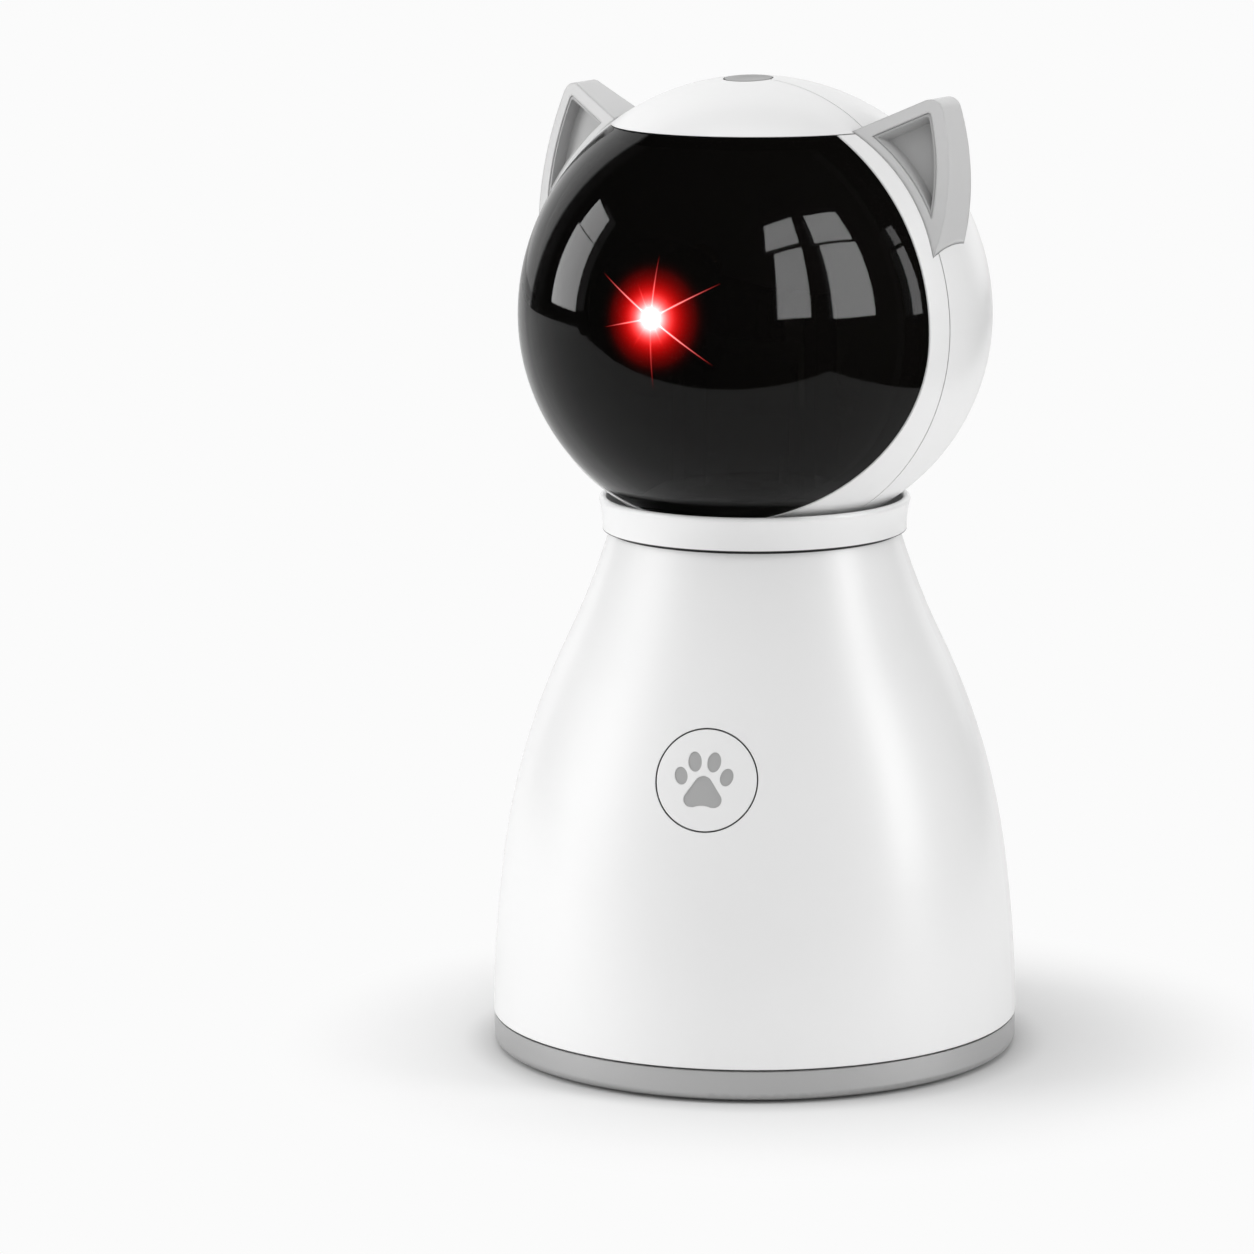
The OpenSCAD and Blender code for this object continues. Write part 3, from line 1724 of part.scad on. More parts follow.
// Controller, charger chip, coil and plugs on the main board
module board_components() {
    top = main_board_z + board_t;
    color(black_plastic)
        translate([0, main_board_y0, top]) {
            translate([-chip_w / 2, 6, 0])
                cube([chip_w, chip_w, 1.2]);
            translate([-board_step * 1.7, 10, 0])
                cube([chip_w / 2, chip_w / 2, 1.5]);
            translate([board_step * 1.5, 12, 0])
                cylinder(r = coil_r, h = 3);
            for (x = [-2.5, -1.5, 0.9])
                translate([x * board_step, 1, 0])
                    cube([plug_w, 4, 4.5]);
        }
}

module charging_socket() {
    z0 = main_board_z + board_t;
    shell = 0.3;
    core = socket_h / 2;
    color(steel)
        translate([0, socket_mouth, z0 + core])
            rotate([90, 0, 0])
                difference() {
                    socket_tube(core, 0, socket_l);
                    translate([0, 0, -1])
                        difference() {
                            socket_tube(core, shell, socket_l - 0.8);
                            translate([-socket_w / 2 + 1.3, -0.35, 0])
                                cube([socket_w - 2.6, 0.7, socket_l]);
                        }
                }
}

// A bar with half-round sides, as wide as the socket
module socket_tube(core, inset, length) {
    for (x = [-1, 1])
        translate([x * (socket_w / 2 - core), 0, 0])
            cylinder(r = core - inset, h = length);
    translate([-socket_w / 2 + core, -core + inset, 0])
        cube([socket_w - 2 * core, 2 * (core - inset), length]);
}

module battery_cell() {
    color("#3f6fb5")
        translate([-cell_l / 2, cell_y, cell_z])
            rotate([0, 90, 0]) {
                cylinder(r = cell_d / 2, h = cell_l - 0.8);
                cylinder(r = 3, h = cell_l);
            }
}

module battery_holder() {
    half = cell_l / 2 + contact_t + 0.2;
    color(black_plastic)
        difference() {
            translate([-half - holder_wall, cell_y - cell_d / 2 - 1, tray_floor])
                cube([2 * (half + holder_wall), cell_d + 2, cell_d * 0.55 + 1.6]);
            translate([-half, cell_y, cell_z])
                rotate([0, 90, 0])
                    cylinder(r = cell_d / 2 + 0.1, h = 2 * half);
            translate([-half, cell_y - cell_d / 2 - 0.1, cell_z])
                cube([2 * half, cell_d + 0.2, far]);
        }
}

module battery_contacts() {
    half = cell_l / 2;
    color(steel)
        for (x = [-half - contact_t - 0.1, half + 0.1])
            translate([x, cell_y - 4, cell_z - 5])
                cube([contact_t, 8, 9]);
}

// ================= the assembly =================
base_tray();
rubber_feet();
base_screws();
body_shell();
neck_collar();
collar_bushing();
thrust_washer();
drive_plate();
plate_screws();
pan_motor();
pan_motor_screws();
pan_motor_shaft();
pan_pinion();
idler_pin();
idler_gear();
head_gear();
gear_clip();
turntable();
turntable_screws();
head_rear_shell();
visor_bezel();
visor();
forehead_cap();
ear(-1);  // ear_left
ear(1);  // ear_right
ear_cup(-1);  // ear_cup_left
ear_cup(1);  // ear_cup_right
crown_button();
crown_switch();
crown_plunger();
crown_board();
crown_board_screws();
tilt_frame();
tilt_frame_screws();
tilt_motor();
tilt_motor_screws();
tilt_motor_shaft();
tilt_pinion();
laser_cradle();
sector_gear();
laser_barrel();
laser_lens();
laser_driver();
paw_button();
paw_print();
paw_switch();
paw_plunger();
paw_board();
paw_board_screws();
main_board();
main_board_screws();
board_components();
charging_socket();
battery_cell();
battery_holder();
battery_contacts();
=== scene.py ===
"""Looks of the automatic cat laser toy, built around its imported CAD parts.

The stand is white glossy plastic over a grey base tray. The head is white as well, with light grey
ears and a near-black glossy visor. A red laser shines from behind the visor.

Lengths are in metres and angles in degrees where no comment says otherwise. The toy stands on
z = 0, and its front with the paw button faces -Y.
"""

import json
import math

import bmesh
import bpy
from mathutils import Matrix, Vector


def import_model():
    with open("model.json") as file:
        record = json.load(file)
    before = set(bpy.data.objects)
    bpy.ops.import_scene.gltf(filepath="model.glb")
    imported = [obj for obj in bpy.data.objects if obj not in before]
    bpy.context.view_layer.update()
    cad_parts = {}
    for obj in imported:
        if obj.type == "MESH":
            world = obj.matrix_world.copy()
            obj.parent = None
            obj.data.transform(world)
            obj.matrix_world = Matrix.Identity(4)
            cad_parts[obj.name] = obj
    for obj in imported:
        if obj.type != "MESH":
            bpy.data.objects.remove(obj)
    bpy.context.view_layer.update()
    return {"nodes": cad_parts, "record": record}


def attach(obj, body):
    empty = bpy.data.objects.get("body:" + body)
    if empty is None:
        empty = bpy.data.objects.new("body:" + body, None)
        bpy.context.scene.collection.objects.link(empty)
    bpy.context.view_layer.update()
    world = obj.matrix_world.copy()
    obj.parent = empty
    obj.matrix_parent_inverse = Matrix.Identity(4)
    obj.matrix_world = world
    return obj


MM = 0.001
UP = Vector((0, 0, 1))
WHITE = (1, 1, 1, 1)
BLACK = (0, 0, 0, 1)

HEAD_CENTRE = Vector((0, 0, 0.1261))
# Height of the seam between shell and neck collar
NECK_HEIGHT = 0.0892


def bearing(azimuth, elevation, distance, centre=HEAD_CENTRE):
    """A place that lies in a direction from a centre: azimuth from the stand's front to +X."""
    turn, rise = math.radians(azimuth), math.radians(elevation)
    way = Vector((
        math.sin(turn) * math.cos(rise),
        -math.cos(turn) * math.cos(rise),
        math.sin(rise),
    ))
    return centre + way * distance


def facing(place, aim):
    """The turn that points the -Z of a camera or lamp at its aim."""
    return (Vector(aim) - Vector(place)).to_track_quat("-Z", "Y").to_euler()


# ---------------------------------------------------------------- camera

# Where the camera stands round the toy, how far back and how high, and the height it looks at
CAMERA_TURN = 12.06
CAMERA_BACK = 0.96425
CAMERA_HEIGHT = 0.2499
AIM_HEIGHT = 0.07212
CAMERA_NEAR = 0.05
# Side of the square photograph, focal length, and how far the toy's axis stands right of its
# middle, all in pixels of the photograph
PHOTO_SIZE = 1254
FOCAL_PIXELS = 5733.7
AXIS_RIGHT_PIXELS = 127.64
SENSOR_MM = 36


def make_camera():
    data = bpy.data.cameras.new("camera")
    data.sensor_width = SENSOR_MM
    data.lens = SENSOR_MM * FOCAL_PIXELS / PHOTO_SIZE
    data.shift_x = -AXIS_RIGHT_PIXELS / PHOTO_SIZE
    data.clip_start = CAMERA_NEAR
    camera = bpy.data.objects.new("camera", data)
    camera.location = bearing(CAMERA_TURN, 0, CAMERA_BACK, UP * CAMERA_HEIGHT)
    camera.rotation_euler = facing(camera.location, UP * AIM_HEIGHT)
    bpy.context.scene.collection.objects.link(camera)
    bpy.context.scene.camera = camera


# ---------------------------------------------------------------- node helpers


class Nodes:
    """A material's or world's node tree with short calls for the nodes that this script uses."""

    def __init__(self, owner, output="ShaderNodeOutputMaterial"):
        owner.use_nodes = True
        self.tree = owner.node_tree
        self.tree.nodes.clear()
        self.out = self.tree.nodes.new(output)

    def add(self, kind, **values):
        node = self.tree.nodes.new(kind)
        for key, value in values.items():
            setattr(node, key, value)
        return node

    def join(self, source, target):
        self.tree.links.new(source, target)

    def coords(self):
        return self.add("ShaderNodeTexCoord").outputs["Object"]

    def noise(self, scale, detail):
        node = self.add("ShaderNodeTexNoise")
        node.inputs["Scale"].default_value = scale
        node.inputs["Detail"].default_value = detail
        self.join(self.coords(), node.inputs["Vector"])
        return node.outputs["Fac"]

    def remap(self, value, low, high, start=0.3, end=0.7):
        """From low to high while the value goes from start to end, by default a noise's span."""
        node = self.add("ShaderNodeMapRange")
        node.inputs["From Min"].default_value = start
        node.inputs["From Max"].default_value = end
        node.inputs["To Min"].default_value = low
        node.inputs["To Max"].default_value = high
        self.join(value, node.inputs["Value"])
        return node.outputs["Result"]

    def maths(self, operation, first, second=0.0):
        node = self.add("ShaderNodeMath", operation=operation)
        for value, socket in zip((first, second), node.inputs):
            if isinstance(value, (int, float)):
                socket.default_value = value
            else:
                self.join(value, socket)
        return node.outputs["Value"]

    def vector_maths(self, operation, vector, other=None):
        """The node itself: its answer is a vector for some operations and a value for others."""
        node = self.add("ShaderNodeVectorMath", operation=operation)
        self.join(vector, node.inputs[0])
        if other is not None:
            node.inputs[1].default_value = other
        return node

    def dot(self, vector, direction):
        return self.vector_maths("DOT_PRODUCT", vector, direction).outputs["Value"]

    def apart(self, vector):
        """The X, Y and Z of a vector by name."""
        node = self.add("ShaderNodeSeparateXYZ")
        self.join(vector, node.inputs[0])
        return node.outputs

    def blend_colours(self, factor, first, second):
        node = self.add("ShaderNodeMix", data_type="RGBA")
        self.join(factor, node.inputs["Factor"])
        for colour, socket in ((first, node.inputs["A"]), (second, node.inputs["B"])):
            if isinstance(colour, tuple):
                socket.default_value = (*colour, 1)
            else:
                self.join(colour, socket)
        return node.outputs["Result"]

    def blend_shaders(self, factor, first, second):
        """Sends a blend of two shaders to the tree's output."""
        node = self.add("ShaderNodeMixShader")
        self.join(factor, node.inputs["Fac"])
        self.join(first, node.inputs[1])
        self.join(second, node.inputs[2])
        self.join(node.outputs["Shader"], self.out.inputs["Surface"])

    def openness(self, distance, shut, clear):
        """From 0 deep in a seam or corner to 1 out in the open."""
        node = self.add("ShaderNodeAmbientOcclusion", samples=8)
        node.inputs["Distance"].default_value = distance
        return self.remap(node.outputs["AO"], 0, 1, shut, clear)

    def rounded(self, radius):
        """Normals as if the edges were rounded."""
        node = self.add("ShaderNodeBevel", samples=4)
        node.inputs["Radius"].default_value = radius
        return node.outputs["Normal"]

    def bump(self, height, strength, distance, normal=None):
        node = self.add("ShaderNodeBump")
        if normal:
            self.join(normal, node.inputs["Normal"])
        node.inputs["Strength"].default_value = strength
        node.inputs["Distance"].default_value = distance
        self.join(height, node.inputs["Height"])
        return node.outputs["Normal"]

    def surface(self, **values):
        shader = self.add("ShaderNodeBsdfPrincipled")
        for key, value in values.items():
            shader.inputs[key.replace("_", " ")].default_value = value
        self.join(shader.outputs["BSDF"], self.out.inputs["Surface"])
        return shader


def new_material(name):
    material = bpy.data.materials.new(name)
    return material, Nodes(material)


# ---------------------------------------------------------------- moulded plastic

# Scales are in noise cells for each metre
MOTTLE_SCALE = 28
GRAIN_SIZE = 0.6 * MM
GRAIN_DEPTH = 0.05 * MM
COAT_ROUGHNESS = 0.26
# Share by which the roughness wanders
GLOSS_DRIFT = 0.07
# Painted shade where two mouldings meet, found by ambient occlusion: how far it reaches, its
# colour, and the openness from full shade to plain surface
SEAM_REACH = 0.7 * MM
SEAM_SHADE = (0.035, 0.035, 0.035)
SEAM_OPENNESS = (0.12, 0.42)
# Painted shade along the part line between shell and collar, a dark band drawn by height: its
# height, half its width and the soft edge's end
NECK_LINE_SHADE = (NECK_HEIGHT + 0.14 * MM, 0.28 * MM, 0.28 * MM * 1.25)


def moulded(name, colour, roughness, grain, coat=0.0, mottle=0.012, edge=0.0, seams=False,
            line=None, **more):
    """Moulded plastic: faint mottling, slow changes of gloss, a fine grain, edges that aren't
    quite sharp and painted shade where two mouldings meet and along a given line."""
    material, nodes = new_material(name)
    shader = nodes.surface(Coat_Weight=coat, Coat_Roughness=COAT_ROUGHNESS, **more)
    slow = nodes.noise(MOTTLE_SCALE, detail=2)
    fine = nodes.noise(1 / GRAIN_SIZE, detail=2)
    paint = nodes.blend_colours(slow, tuple(c * (1 - mottle) for c in colour), colour)
    # Painted shade: the colour goes dark where ambient occlusion finds a seam between mouldings
    if seams:
        seam = nodes.openness(SEAM_REACH, *SEAM_OPENNESS)
        paint = nodes.blend_colours(seam, SEAM_SHADE, paint)
    # Painted shade: a dark band at a given height, along the part line
    if line:
        height, inner, outer = line
        off = nodes.maths("SUBTRACT", nodes.apart(nodes.coords())["Z"], height)
        beyond = nodes.remap(nodes.maths("ABSOLUTE", off), 0, 1, inner, outer)
        paint = nodes.blend_colours(beyond, SEAM_SHADE, paint)
    nodes.join(paint, shader.inputs["Base Color"])
    gloss = nodes.remap(slow, roughness * (1 - GLOSS_DRIFT), roughness * (1 + GLOSS_DRIFT))
    nodes.join(gloss, shader.inputs["Roughness"])
    smooth = nodes.rounded(edge) if edge else None
    if smooth:
        nodes.join(smooth, shader.inputs["Coat Normal"])
    nodes.join(nodes.bump(fine, grain, GRAIN_DEPTH, smooth), shader.inputs["Normal"])
    return material


MOULDINGS = {
    # white_cover carries painted shade in its seams and along the part line at the neck
    "white_cover": dict(colour=(0.86, 0.86, 0.86), roughness=0.36, grain=0.04, coat=0.7,
                        edge=0.25 * MM, seams=True, line=NECK_LINE_SHADE),
    "grey_tray": dict(colour=(0.52, 0.52, 0.52), roughness=0.4, grain=0.12, edge=0.3 * MM,
                      Metallic=0.9),
    "ear_grey": dict(colour=(0.62, 0.62, 0.62), roughness=0.36, grain=0.06, coat=0.5,
                     edge=0.6 * MM),
    "cup_grey": dict(colour=(0.43, 0.43, 0.43), roughness=0.5, grain=0.2, edge=0.3 * MM),
    "print_grey": dict(colour=(0.43, 0.43, 0.43), roughness=0.4, grain=0.15, coat=0.3,
                       mottle=0.12),
    "black_plastic": dict(colour=(0.03, 0.03, 0.032), roughness=0.5, grain=0.3, mottle=0.2),
    "gear_plastic": dict(colour=(0.78, 0.75, 0.66), roughness=0.4, grain=0.1),
    "rubber": dict(colour=(0.035, 0.035, 0.035), roughness=0.75, grain=0.4, mottle=0.25),
    "board": dict(colour=(0.03, 0.16, 0.07), roughness=0.35, grain=0.2, mottle=0.3),
    "cell_wrap": dict(colour=(0.05, 0.14, 0.4), roughness=0.25, grain=0.0, coat=0.3),
}

# ---------------------------------------------------------------- metal

TARNISH_SCALE = 160
TARNISH = 0.88
SCRATCH_SCALE = 3000
SCRATCH_DEPTH = 0.02 * MM
# Least and most roughness, as shares of the metal's own
SATIN_DRIFT = (0.8, 1.25)
# The crown button's middle, its face and the dark rim of painted shade out from there, and the
# rim's colour
CROWN_MIDDLE = (-0.63 * MM, -2.21 * MM, 0)
CROWN_FACE = (4.35 * MM, 4.6 * MM)
CROWN_RIM_SHADE = (0.09, 0.09, 0.09)


def metal(name, colour, roughness, scratch=0.02, turned=False):
    """Satin metal with slow tarnish and fine scratches; if turned, a face inside a dark rim of
    painted shade.
    """
    material, nodes = new_material(name)
    shader = nodes.surface(Metallic=1.0)
    slow = nodes.noise(TARNISH_SCALE, detail=4)
    fine = nodes.noise(SCRATCH_SCALE, detail=2)
    paint = nodes.blend_colours(slow, tuple(c * TARNISH for c in colour), colour)
    if turned:
        # Painted shade: a dark ring round the crown button's face
        flat = nodes.vector_maths("MULTIPLY", nodes.coords(), (1, 1, 0)).outputs["Vector"]
        out = nodes.vector_maths("DISTANCE", flat, CROWN_MIDDLE).outputs["Value"]
        paint = nodes.blend_colours(nodes.remap(out, 0, 1, *CROWN_FACE), paint, CROWN_RIM_SHADE)
    nodes.join(paint, shader.inputs["Base Color"])
    gloss = nodes.remap(slow, *(roughness * share for share in SATIN_DRIFT))
    nodes.join(gloss, shader.inputs["Roughness"])
    nodes.join(nodes.bump(fine, scratch, SCRATCH_DEPTH), shader.inputs["Normal"])
    return material


METALS = {
    # crown_metal gets the rim of painted shade
    "crown_metal": dict(colour=(0.43, 0.43, 0.43), roughness=0.4, scratch=0.1, turned=True),
    "steel": dict(colour=(0.6, 0.6, 0.61), roughness=0.32),
    "brass": dict(colour=(0.75, 0.55, 0.27), roughness=0.28),
}

# ---------------------------------------------------------------- visor and laser

# Share of the light that each face of the visor stops; a ray meets its outer and its inner face
VISOR_COVER = 0.82
VISOR_CLEAR = (1 - VISOR_COVER) ** 2
VISOR_SCALE = 20
VISOR_DARK = (0.0012, 0.0011, 0.001)
VISOR_PALE = (0.002, 0.0018, 0.0016)
LENS_COLOUR = (0.8, 0.05, 0.05, 1)
LENS_LIGHT = (1.0, 0.1, 0.08, 1)

# The laser's glow as seen through the visor: radius of the cap that carries it, spread and
# brightness of the red halo and of the white core, all lengths in mm
GLOW_REACH = 13.0
HALO_SPREAD = 4.0
HALO_LIGHT = 2.5
CORE_SPREAD = 1.85
CORE_LIGHT = 2.7
# Rays of the glow: angle seen from the front, length in mm, brightness
GLOW_RAYS = (
    (88, 10.5, 1.0),
    (29, 13.5, 1.3),
    (-34, 13.0, 1.5),
    (-90, 12.0, 0.55),
    (146, 12.5, 1.4),
    (192, 9.5, 1.3),
    (118, 6.5, 0.8),
    (50, 4.5, 0.6),
    (-63, 5.2, 1.0),
    (236, 6.5, 0.5),
)
# A ray narrows: its half width is 1 + RAY_TIP times this at its start and RAY_TIP times this, in
# mm, at its tip
RAY_HALF_WIDTH = 0.17
RAY_TIP = 0.25
RAY_LIGHT = 1.6
# How much green and blue light the rays and the halo have beside their red
RAY_WHITENESS = 0.28
HALO_WHITENESS = 0.004
# Brightness from which the cap hides what is behind it
GLOW_OPAQUE = 0.05


def smoked_visor():
    """Near-black glossy plastic that lets a little red light from inside through."""
    material, nodes = new_material("smoked_visor")
    shader = nodes.surface(Roughness=0.035, IOR=1.28, Alpha=VISOR_COVER)
    slow = nodes.noise(VISOR_SCALE, detail=2)
    nodes.join(nodes.blend_colours(slow, VISOR_DARK, VISOR_PALE), shader.inputs["Base Color"])
    return material


def lens_red():
    material, nodes = new_material("lens_red")
    shader = nodes.surface(Roughness=0.1, Emission_Strength=8.0)
    shader.inputs["Base Color"].default_value = LENS_COLOUR
    shader.inputs["Emission Color"].default_value = LENS_LIGHT
    return material


def laser_light():
    """A white core in a red halo with fine rays, all on object coordinates in millimetres."""
    material, nodes = new_material("laser_light")
    shader = nodes.surface(Roughness=1.0, Specular_IOR_Level=0.0,
                           Emission_Strength=1 / VISOR_CLEAR)
    shader.inputs["Base Color"].default_value = BLACK
    flat = nodes.vector_maths("MULTIPLY", nodes.coords(), (1 / MM, 1 / MM, 0)).outputs["Vector"]
    away = nodes.vector_maths("LENGTH", flat).outputs["Value"]

    def add(first, second):
        return nodes.maths("ADD", first, second)

    def times(first, second):
        return nodes.maths("MULTIPLY", first, second)

    def bell(distance, spread):
        """exp(-(distance / spread)^2)"""
        ratio = nodes.maths("DIVIDE", distance, spread)
        return nodes.maths("EXPONENT", times(times(ratio, ratio), -1))

    halo = times(bell(away, HALO_SPREAD), HALO_LIGHT)
    core = times(bell(away, CORE_SPREAD), CORE_LIGHT)
    rays = None
    for angle, length, light in GLOW_RAYS:
        along, beside = (
            nodes.dot(flat, (math.cos(a), math.sin(a), 0))
            for a in (math.radians(angle), math.radians(angle + 90))
        )
        left = nodes.remap(along, 1, 0, 0, length)
        ahead = nodes.maths("GREATER_THAN", along, 0)
        width = times(add(left, RAY_TIP), RAY_HALF_WIDTH)
        ray = times(times(times(bell(beside, width), left), ahead), light * RAY_LIGHT)
        rays = ray if rays is None else add(rays, ray)
    red = add(add(halo, core), rays)
    pale = times(times(rays, rays), RAY_WHITENESS)
    pale = add(add(core, pale), times(halo, HALO_WHITENESS))
    colour = nodes.add("ShaderNodeCombineColor")
    for value, socket in zip((red, pale, pale), colour.inputs):
        nodes.join(value, socket)
    nodes.join(colour.outputs["Color"], shader.inputs["Emission Color"])
    nodes.join(nodes.remap(red, 0, 1, 0, GLOW_OPAQUE), shader.inputs["Alpha"])
    material.cycles.emission_sampling = "NONE"
    return material


def dress_nodes(frame):
    """Gives every CAD node the material of its slot in the record."""
    made = {name: moulded(name, **look) for name, look in MOULDINGS.items()}
    made.update({name: metal(name, **look) for name, look in METALS.items()})
    made["smoked_visor"] = smoked_visor()
    made["lens_red"] = lens_red()
    for entry in frame["record"]["subparts"]:
        piece = frame["nodes"][entry["node"]]
        piece.data.materials.clear()
        piece.data.materials.append(made[entry["material_slot"]])


# Where the glow shows in the resting pose, seen from the head's centre: in front of the laser's
# lens and just inside the visor
GLOW_TURN = -15.5
GLOW_RISE = 5.2
GLOW_RADIUS = 0.0369
GLOW_RINGS = 14
GLOW_SPOKES = 48


def make_glow():
    """A thin dome between laser and visor, with +Z away from the head's centre and +Y up."""
    mesh = bmesh.new()
    rings = []
    for i in range(1, GLOW_RINGS + 1):
        tilt = math.asin(GLOW_REACH * MM / GLOW_RADIUS) * i / GLOW_RINGS
        rings.append([
            mesh.verts.new((
                GLOW_RADIUS * math.sin(tilt) * math.cos(2 * math.pi * k / GLOW_SPOKES),
                GLOW_RADIUS * math.sin(tilt) * math.sin(2 * math.pi * k / GLOW_SPOKES),
                GLOW_RADIUS * math.cos(tilt),
            ))
            for k in range(GLOW_SPOKES)
        ])
    pole = mesh.verts.new((0, 0, GLOW_RADIUS))
    for k in range(GLOW_SPOKES):
        beside = (k + 1) % GLOW_SPOKES
        mesh.faces.new((pole, rings[0][k], rings[0][beside]))
        for inner, outer in zip(rings, rings[1:]):
            mesh.faces.new((inner[k], outer[k], outer[beside], inner[beside]))
    data = bpy.data.meshes.new("laser_glow")
    mesh.to_mesh(data)
    mesh.free()
    data.shade_smooth()
    data.materials.append(laser_light())
    glow = bpy.data.objects.new("laser_glow", data)
    outward = bearing(GLOW_TURN, GLOW_RISE, 1, Vector())
    across = UP.cross(outward).normalized()
    turned = Matrix((across, outward.cross(across), outward)).transposed().to_4x4()
    glow.matrix_world = Matrix.Translation(HEAD_CENTRE) @ turned
    bpy.context.scene.collection.objects.link(glow)
    glow.visible_diffuse = False
    glow.visible_glossy = False
    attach(glow, "laser")


# ---------------------------------------------------------------- floor and background

FLOOR_SIZE = 6.0
FLOOR_ALBEDO = 0.9
# Brightness of floor and background where they are seen and plain
BACKGROUND = 0.965
# The soft shade right under the foot: reach, colour, and the openness from shade to floor
CONTACT_REACH = 6 * MM
CONTACT_SHADE = (0.66, 0.66, 0.66)
CONTACT_OPENNESS = (0.25, 1.0)
# Where the floor's own shading gives way to the plain background, from close by the toy's axis
SHADE_FROM = 0.046
SHADE_TO = 0.09
SHADE_CENTRE = (0.006, 0, 0)
# Strength of the world's light from its full and its weak side, and the way to the full side
WORLD_FULL = 1.06
WORLD_WEAK = 0.45
WORLD_FULL_FROM = (-0.85, -0.53, 0)


def make_floor():
    """A plain pale floor: it shows the toy's soft shadow close by and is all white further out."""
    bpy.ops.mesh.primitive_plane_add(size=FLOOR_SIZE)
    floor = bpy.context.object
    floor.name = "floor"
    material, nodes = new_material("floor")
    lit = nodes.add("ShaderNodeBsdfDiffuse")
    open_air = nodes.openness(CONTACT_REACH, *CONTACT_OPENNESS)
    colour = nodes.blend_colours(open_air, CONTACT_SHADE, (FLOOR_ALBEDO,) * 3)
    nodes.join(colour, lit.inputs["Color"])
    plain = nodes.add("ShaderNodeEmission")
    plain.inputs["Strength"].default_value = BACKGROUND
    away = nodes.vector_maths("DISTANCE", nodes.coords(), SHADE_CENTRE).outputs["Value"]
    outside = nodes.remap(away, 0, 1, SHADE_FROM, SHADE_TO)
    outside.node.interpolation_type = "SMOOTHSTEP"
    camera_ray = nodes.add("ShaderNodeLightPath").outputs["Is Camera Ray"]
    seen = nodes.maths("MULTIPLY", camera_ray, outside)
    nodes.blend_shaders(seen, lit.outputs["BSDF"], plain.outputs["Emission"])
    floor.data.materials.append(material)


def make_world():
    """White where it is seen, directly or in a gloss; a soft light, fuller from the front left."""
    world = bpy.data.worlds.new("studio")
    bpy.context.scene.world = world
    nodes = Nodes(world, "ShaderNodeOutputWorld")
    toward = nodes.dot(nodes.add("ShaderNodeTexCoord").outputs["Generated"], WORLD_FULL_FROM)
    lit = nodes.add("ShaderNodeBackground")
    nodes.join(nodes.remap(toward, WORLD_WEAK, WORLD_FULL, -1, 1), lit.inputs["Strength"])
    plain = nodes.add("ShaderNodeBackground")
    plain.inputs["Color"].default_value = WHITE
    plain.inputs["Strength"].default_value = BACKGROUND
    paths = nodes.add("ShaderNodeLightPath")
    seen = paths.outputs["Is Camera Ray"]
    for kind in ("Is Glossy Ray", "Is Transmission Ray"):
        seen = nodes.maths("MAXIMUM", seen, paths.outputs[kind])
    nodes.blend_shaders(seen, lit.outputs["Background"], plain.outputs["Background"])


# ---------------------------------------------------------------- flags

# Black studio flags: a dome over the front and a cloth on the floor round a white table
FLAG_RADIUS = 1.6
FLAG_BLACK = (0.004, 0.004, 0.004, 1)
DOME_SEGMENTS = 72
DOME_RINGS = 36
# The dome's azimuth, how its edge leans, and where along that way it begins and is full
FLAG_FACING = 12.5
FLAG_LEAN = 0.25
FLAG_BACK = (-1.2, -1.15)
TABLE_FRONT = -0.232
TABLE_RIGHT = 0.255
TABLE_EDGE = 3 * MM


def over_front(nodes):
    """One all round the front, up to a leaning plane behind the toy."""
    ahead = bearing(FLAG_FACING, 0, 1, Vector()) - UP * FLAG_LEAN
    return nodes.remap(nodes.dot(nodes.coords(), ahead), 0, 1, *FLAG_BACK)


def beside_table(nodes):
    """One past the front edge and the right edge of the white table."""
    place = nodes.apart(nodes.coords())
    past_front = nodes.remap(place["Y"], 1, 0, TABLE_FRONT - TABLE_EDGE, TABLE_FRONT)
    past_side = nodes.remap(place["X"], 0, 1, TABLE_RIGHT, TABLE_RIGHT + TABLE_EDGE)
    return nodes.maths("MAXIMUM", past_front, past_side)


def flag_material(name, mask):
    """Black where the mask is one and nothing at all elsewhere."""
    material, nodes = new_material(name)
    cloth = nodes.add("ShaderNodeEmission")
    cloth.inputs["Color"].default_value = FLAG_BLACK
    nothing = nodes.add("ShaderNodeBsdfTransparent")
    nodes.blend_shaders(mask(nodes), nothing.outputs["BSDF"], cloth.outputs["Emission"])
    return material


def make_flags():
    """Glossy surfaces mirror the flags, and nothing else meets them."""
    bpy.ops.mesh.primitive_uv_sphere_add(segments=DOME_SEGMENTS, ring_count=DOME_RINGS,
                                         radius=FLAG_RADIUS, location=HEAD_CENTRE)
    dome = bpy.context.object
    bpy.ops.mesh.primitive_plane_add(size=2 * FLAG_RADIUS, location=(0, 0, MM))
    cloth = bpy.context.object
    for flag, name, mask in ((dome, "flag_dome", over_front), (cloth, "flag_cloth", beside_table)):
        flag.name = name
        flag.data.materials.append(flag_material(name, mask))
        flag.visible_camera = False
        flag.visible_diffuse = False
        flag.visible_transmission = False
        flag.visible_shadow = False


# ---------------------------------------------------------------- lamps

# Softboxes: azimuth, elevation and distance of the middle, width, height and power in watts
SOFTBOXES = {
    "key_left": (-73, 14, 2.6, 1.5, 2.4, 37),
    "key_right": (87, 12, 2.6, 0.8, 2.6, 35),
    "top": (0, 86, 1.4, 1.1, 1.1, 2.8),
}
SOFTBOX_AIM = (0, 0, 0.09)

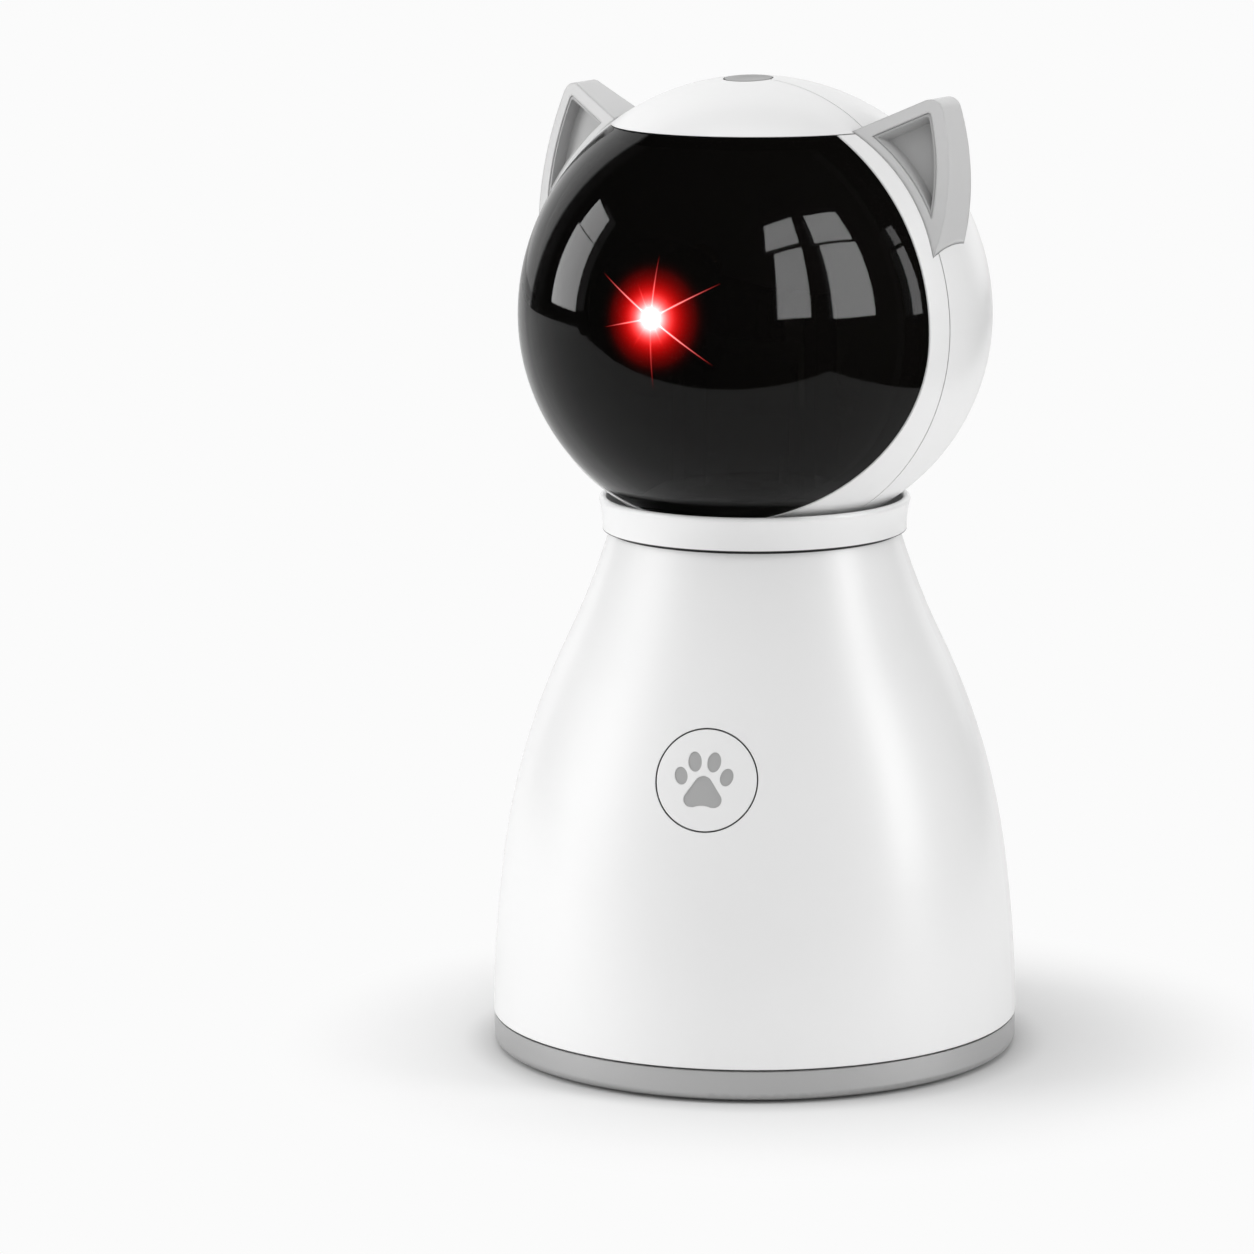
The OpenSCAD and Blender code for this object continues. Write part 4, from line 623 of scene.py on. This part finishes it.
# Windows that the visor mirrors. Each lies in an upright plane that faces the head from this
# azimuth; its panes are left, right, low and high as shares of the distance, and brightness
WINDOW_DISTANCE = 0.85
WINDOW_RADIANCE = 11.6
WINDOWS = {
    47: (
        (-0.45, -0.145, 0.085, 0.765, 0.95),
        (-0.55, -0.16, 0.83, 1.3, 0.95),
        (0.04, 0.45, 0.06, 0.745, 1.05),
        (0.0, 0.43, 0.78, 1.25, 1.0),
    ),
    -92: (
        (-0.18, 0.166, 0.0, 0.426, 0.72),
        (-0.15, 0.166, 0.434, 0.645, 0.72),
    ),
    95: (
        (-0.04, 0.06, 0.01, 0.465, 0.5),
        (-0.025, 0.066, 0.5, 0.66, 0.35),
    ),
}


def area_light(name, place, aim, size, power, receivers):
    data = bpy.data.lights.new(name, "AREA")
    data.shape = "RECTANGLE"
    data.size, data.size_y = size
    data.energy = power
    lamp = bpy.data.objects.new(name, data)
    lamp.location = place
    lamp.rotation_euler = facing(lamp.location, aim)
    bpy.context.scene.collection.objects.link(lamp)
    lamp.light_linking.receiver_collection = receivers


def linked_to(name, piece, state):
    """A collection for a lamp's light linking that takes one piece in, or leaves it out."""
    receivers = bpy.data.collections.new(name)
    receivers.objects.link(piece)
    receivers.collection_objects[0].light_linking.link_state = state
    return receivers


def make_lights(visor):
    """Two tall softboxes at the sides and one overhead; the visor mirrors its own panes instead."""
    receivers = linked_to("all_but_visor", visor, "EXCLUDE")
    for name, (azimuth, elevation, distance, width, height, power) in SOFTBOXES.items():
        place = bearing(azimuth, elevation, distance)
        area_light(name, place, SOFTBOX_AIM, (width, height), power, receivers)


def make_windows(visor):
    """Bright panes that only the visor's gloss picks up."""
    receivers = linked_to("visor_only", visor, "INCLUDE")
    up = UP * WINDOW_DISTANCE
    for azimuth, panes in WINDOWS.items():
        middle = bearing(azimuth, 0, WINDOW_DISTANCE)
        across = bearing(azimuth + 90, 0, WINDOW_DISTANCE) - HEAD_CENTRE
        for k, (left, right, low, high, share) in enumerate(panes):
            place = middle + across * (left + right) / 2 + up * (low + high) / 2
            aim = place + HEAD_CENTRE - middle
            width, height = (right - left) * WINDOW_DISTANCE, (high - low) * WINDOW_DISTANCE
            power = WINDOW_RADIANCE * share * math.pi * width * height
            area_light(f"window_{azimuth}_{k}", place, aim, (width, height), power, receivers)


def main():
    bpy.context.scene.view_settings.view_transform = "Standard"
    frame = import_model()
    make_camera()
    make_world()
    make_floor()
    make_flags()
    dress_nodes(frame)
    make_glow()
    make_lights(frame["nodes"]["visor"])
    make_windows(frame["nodes"]["visor"])


main()
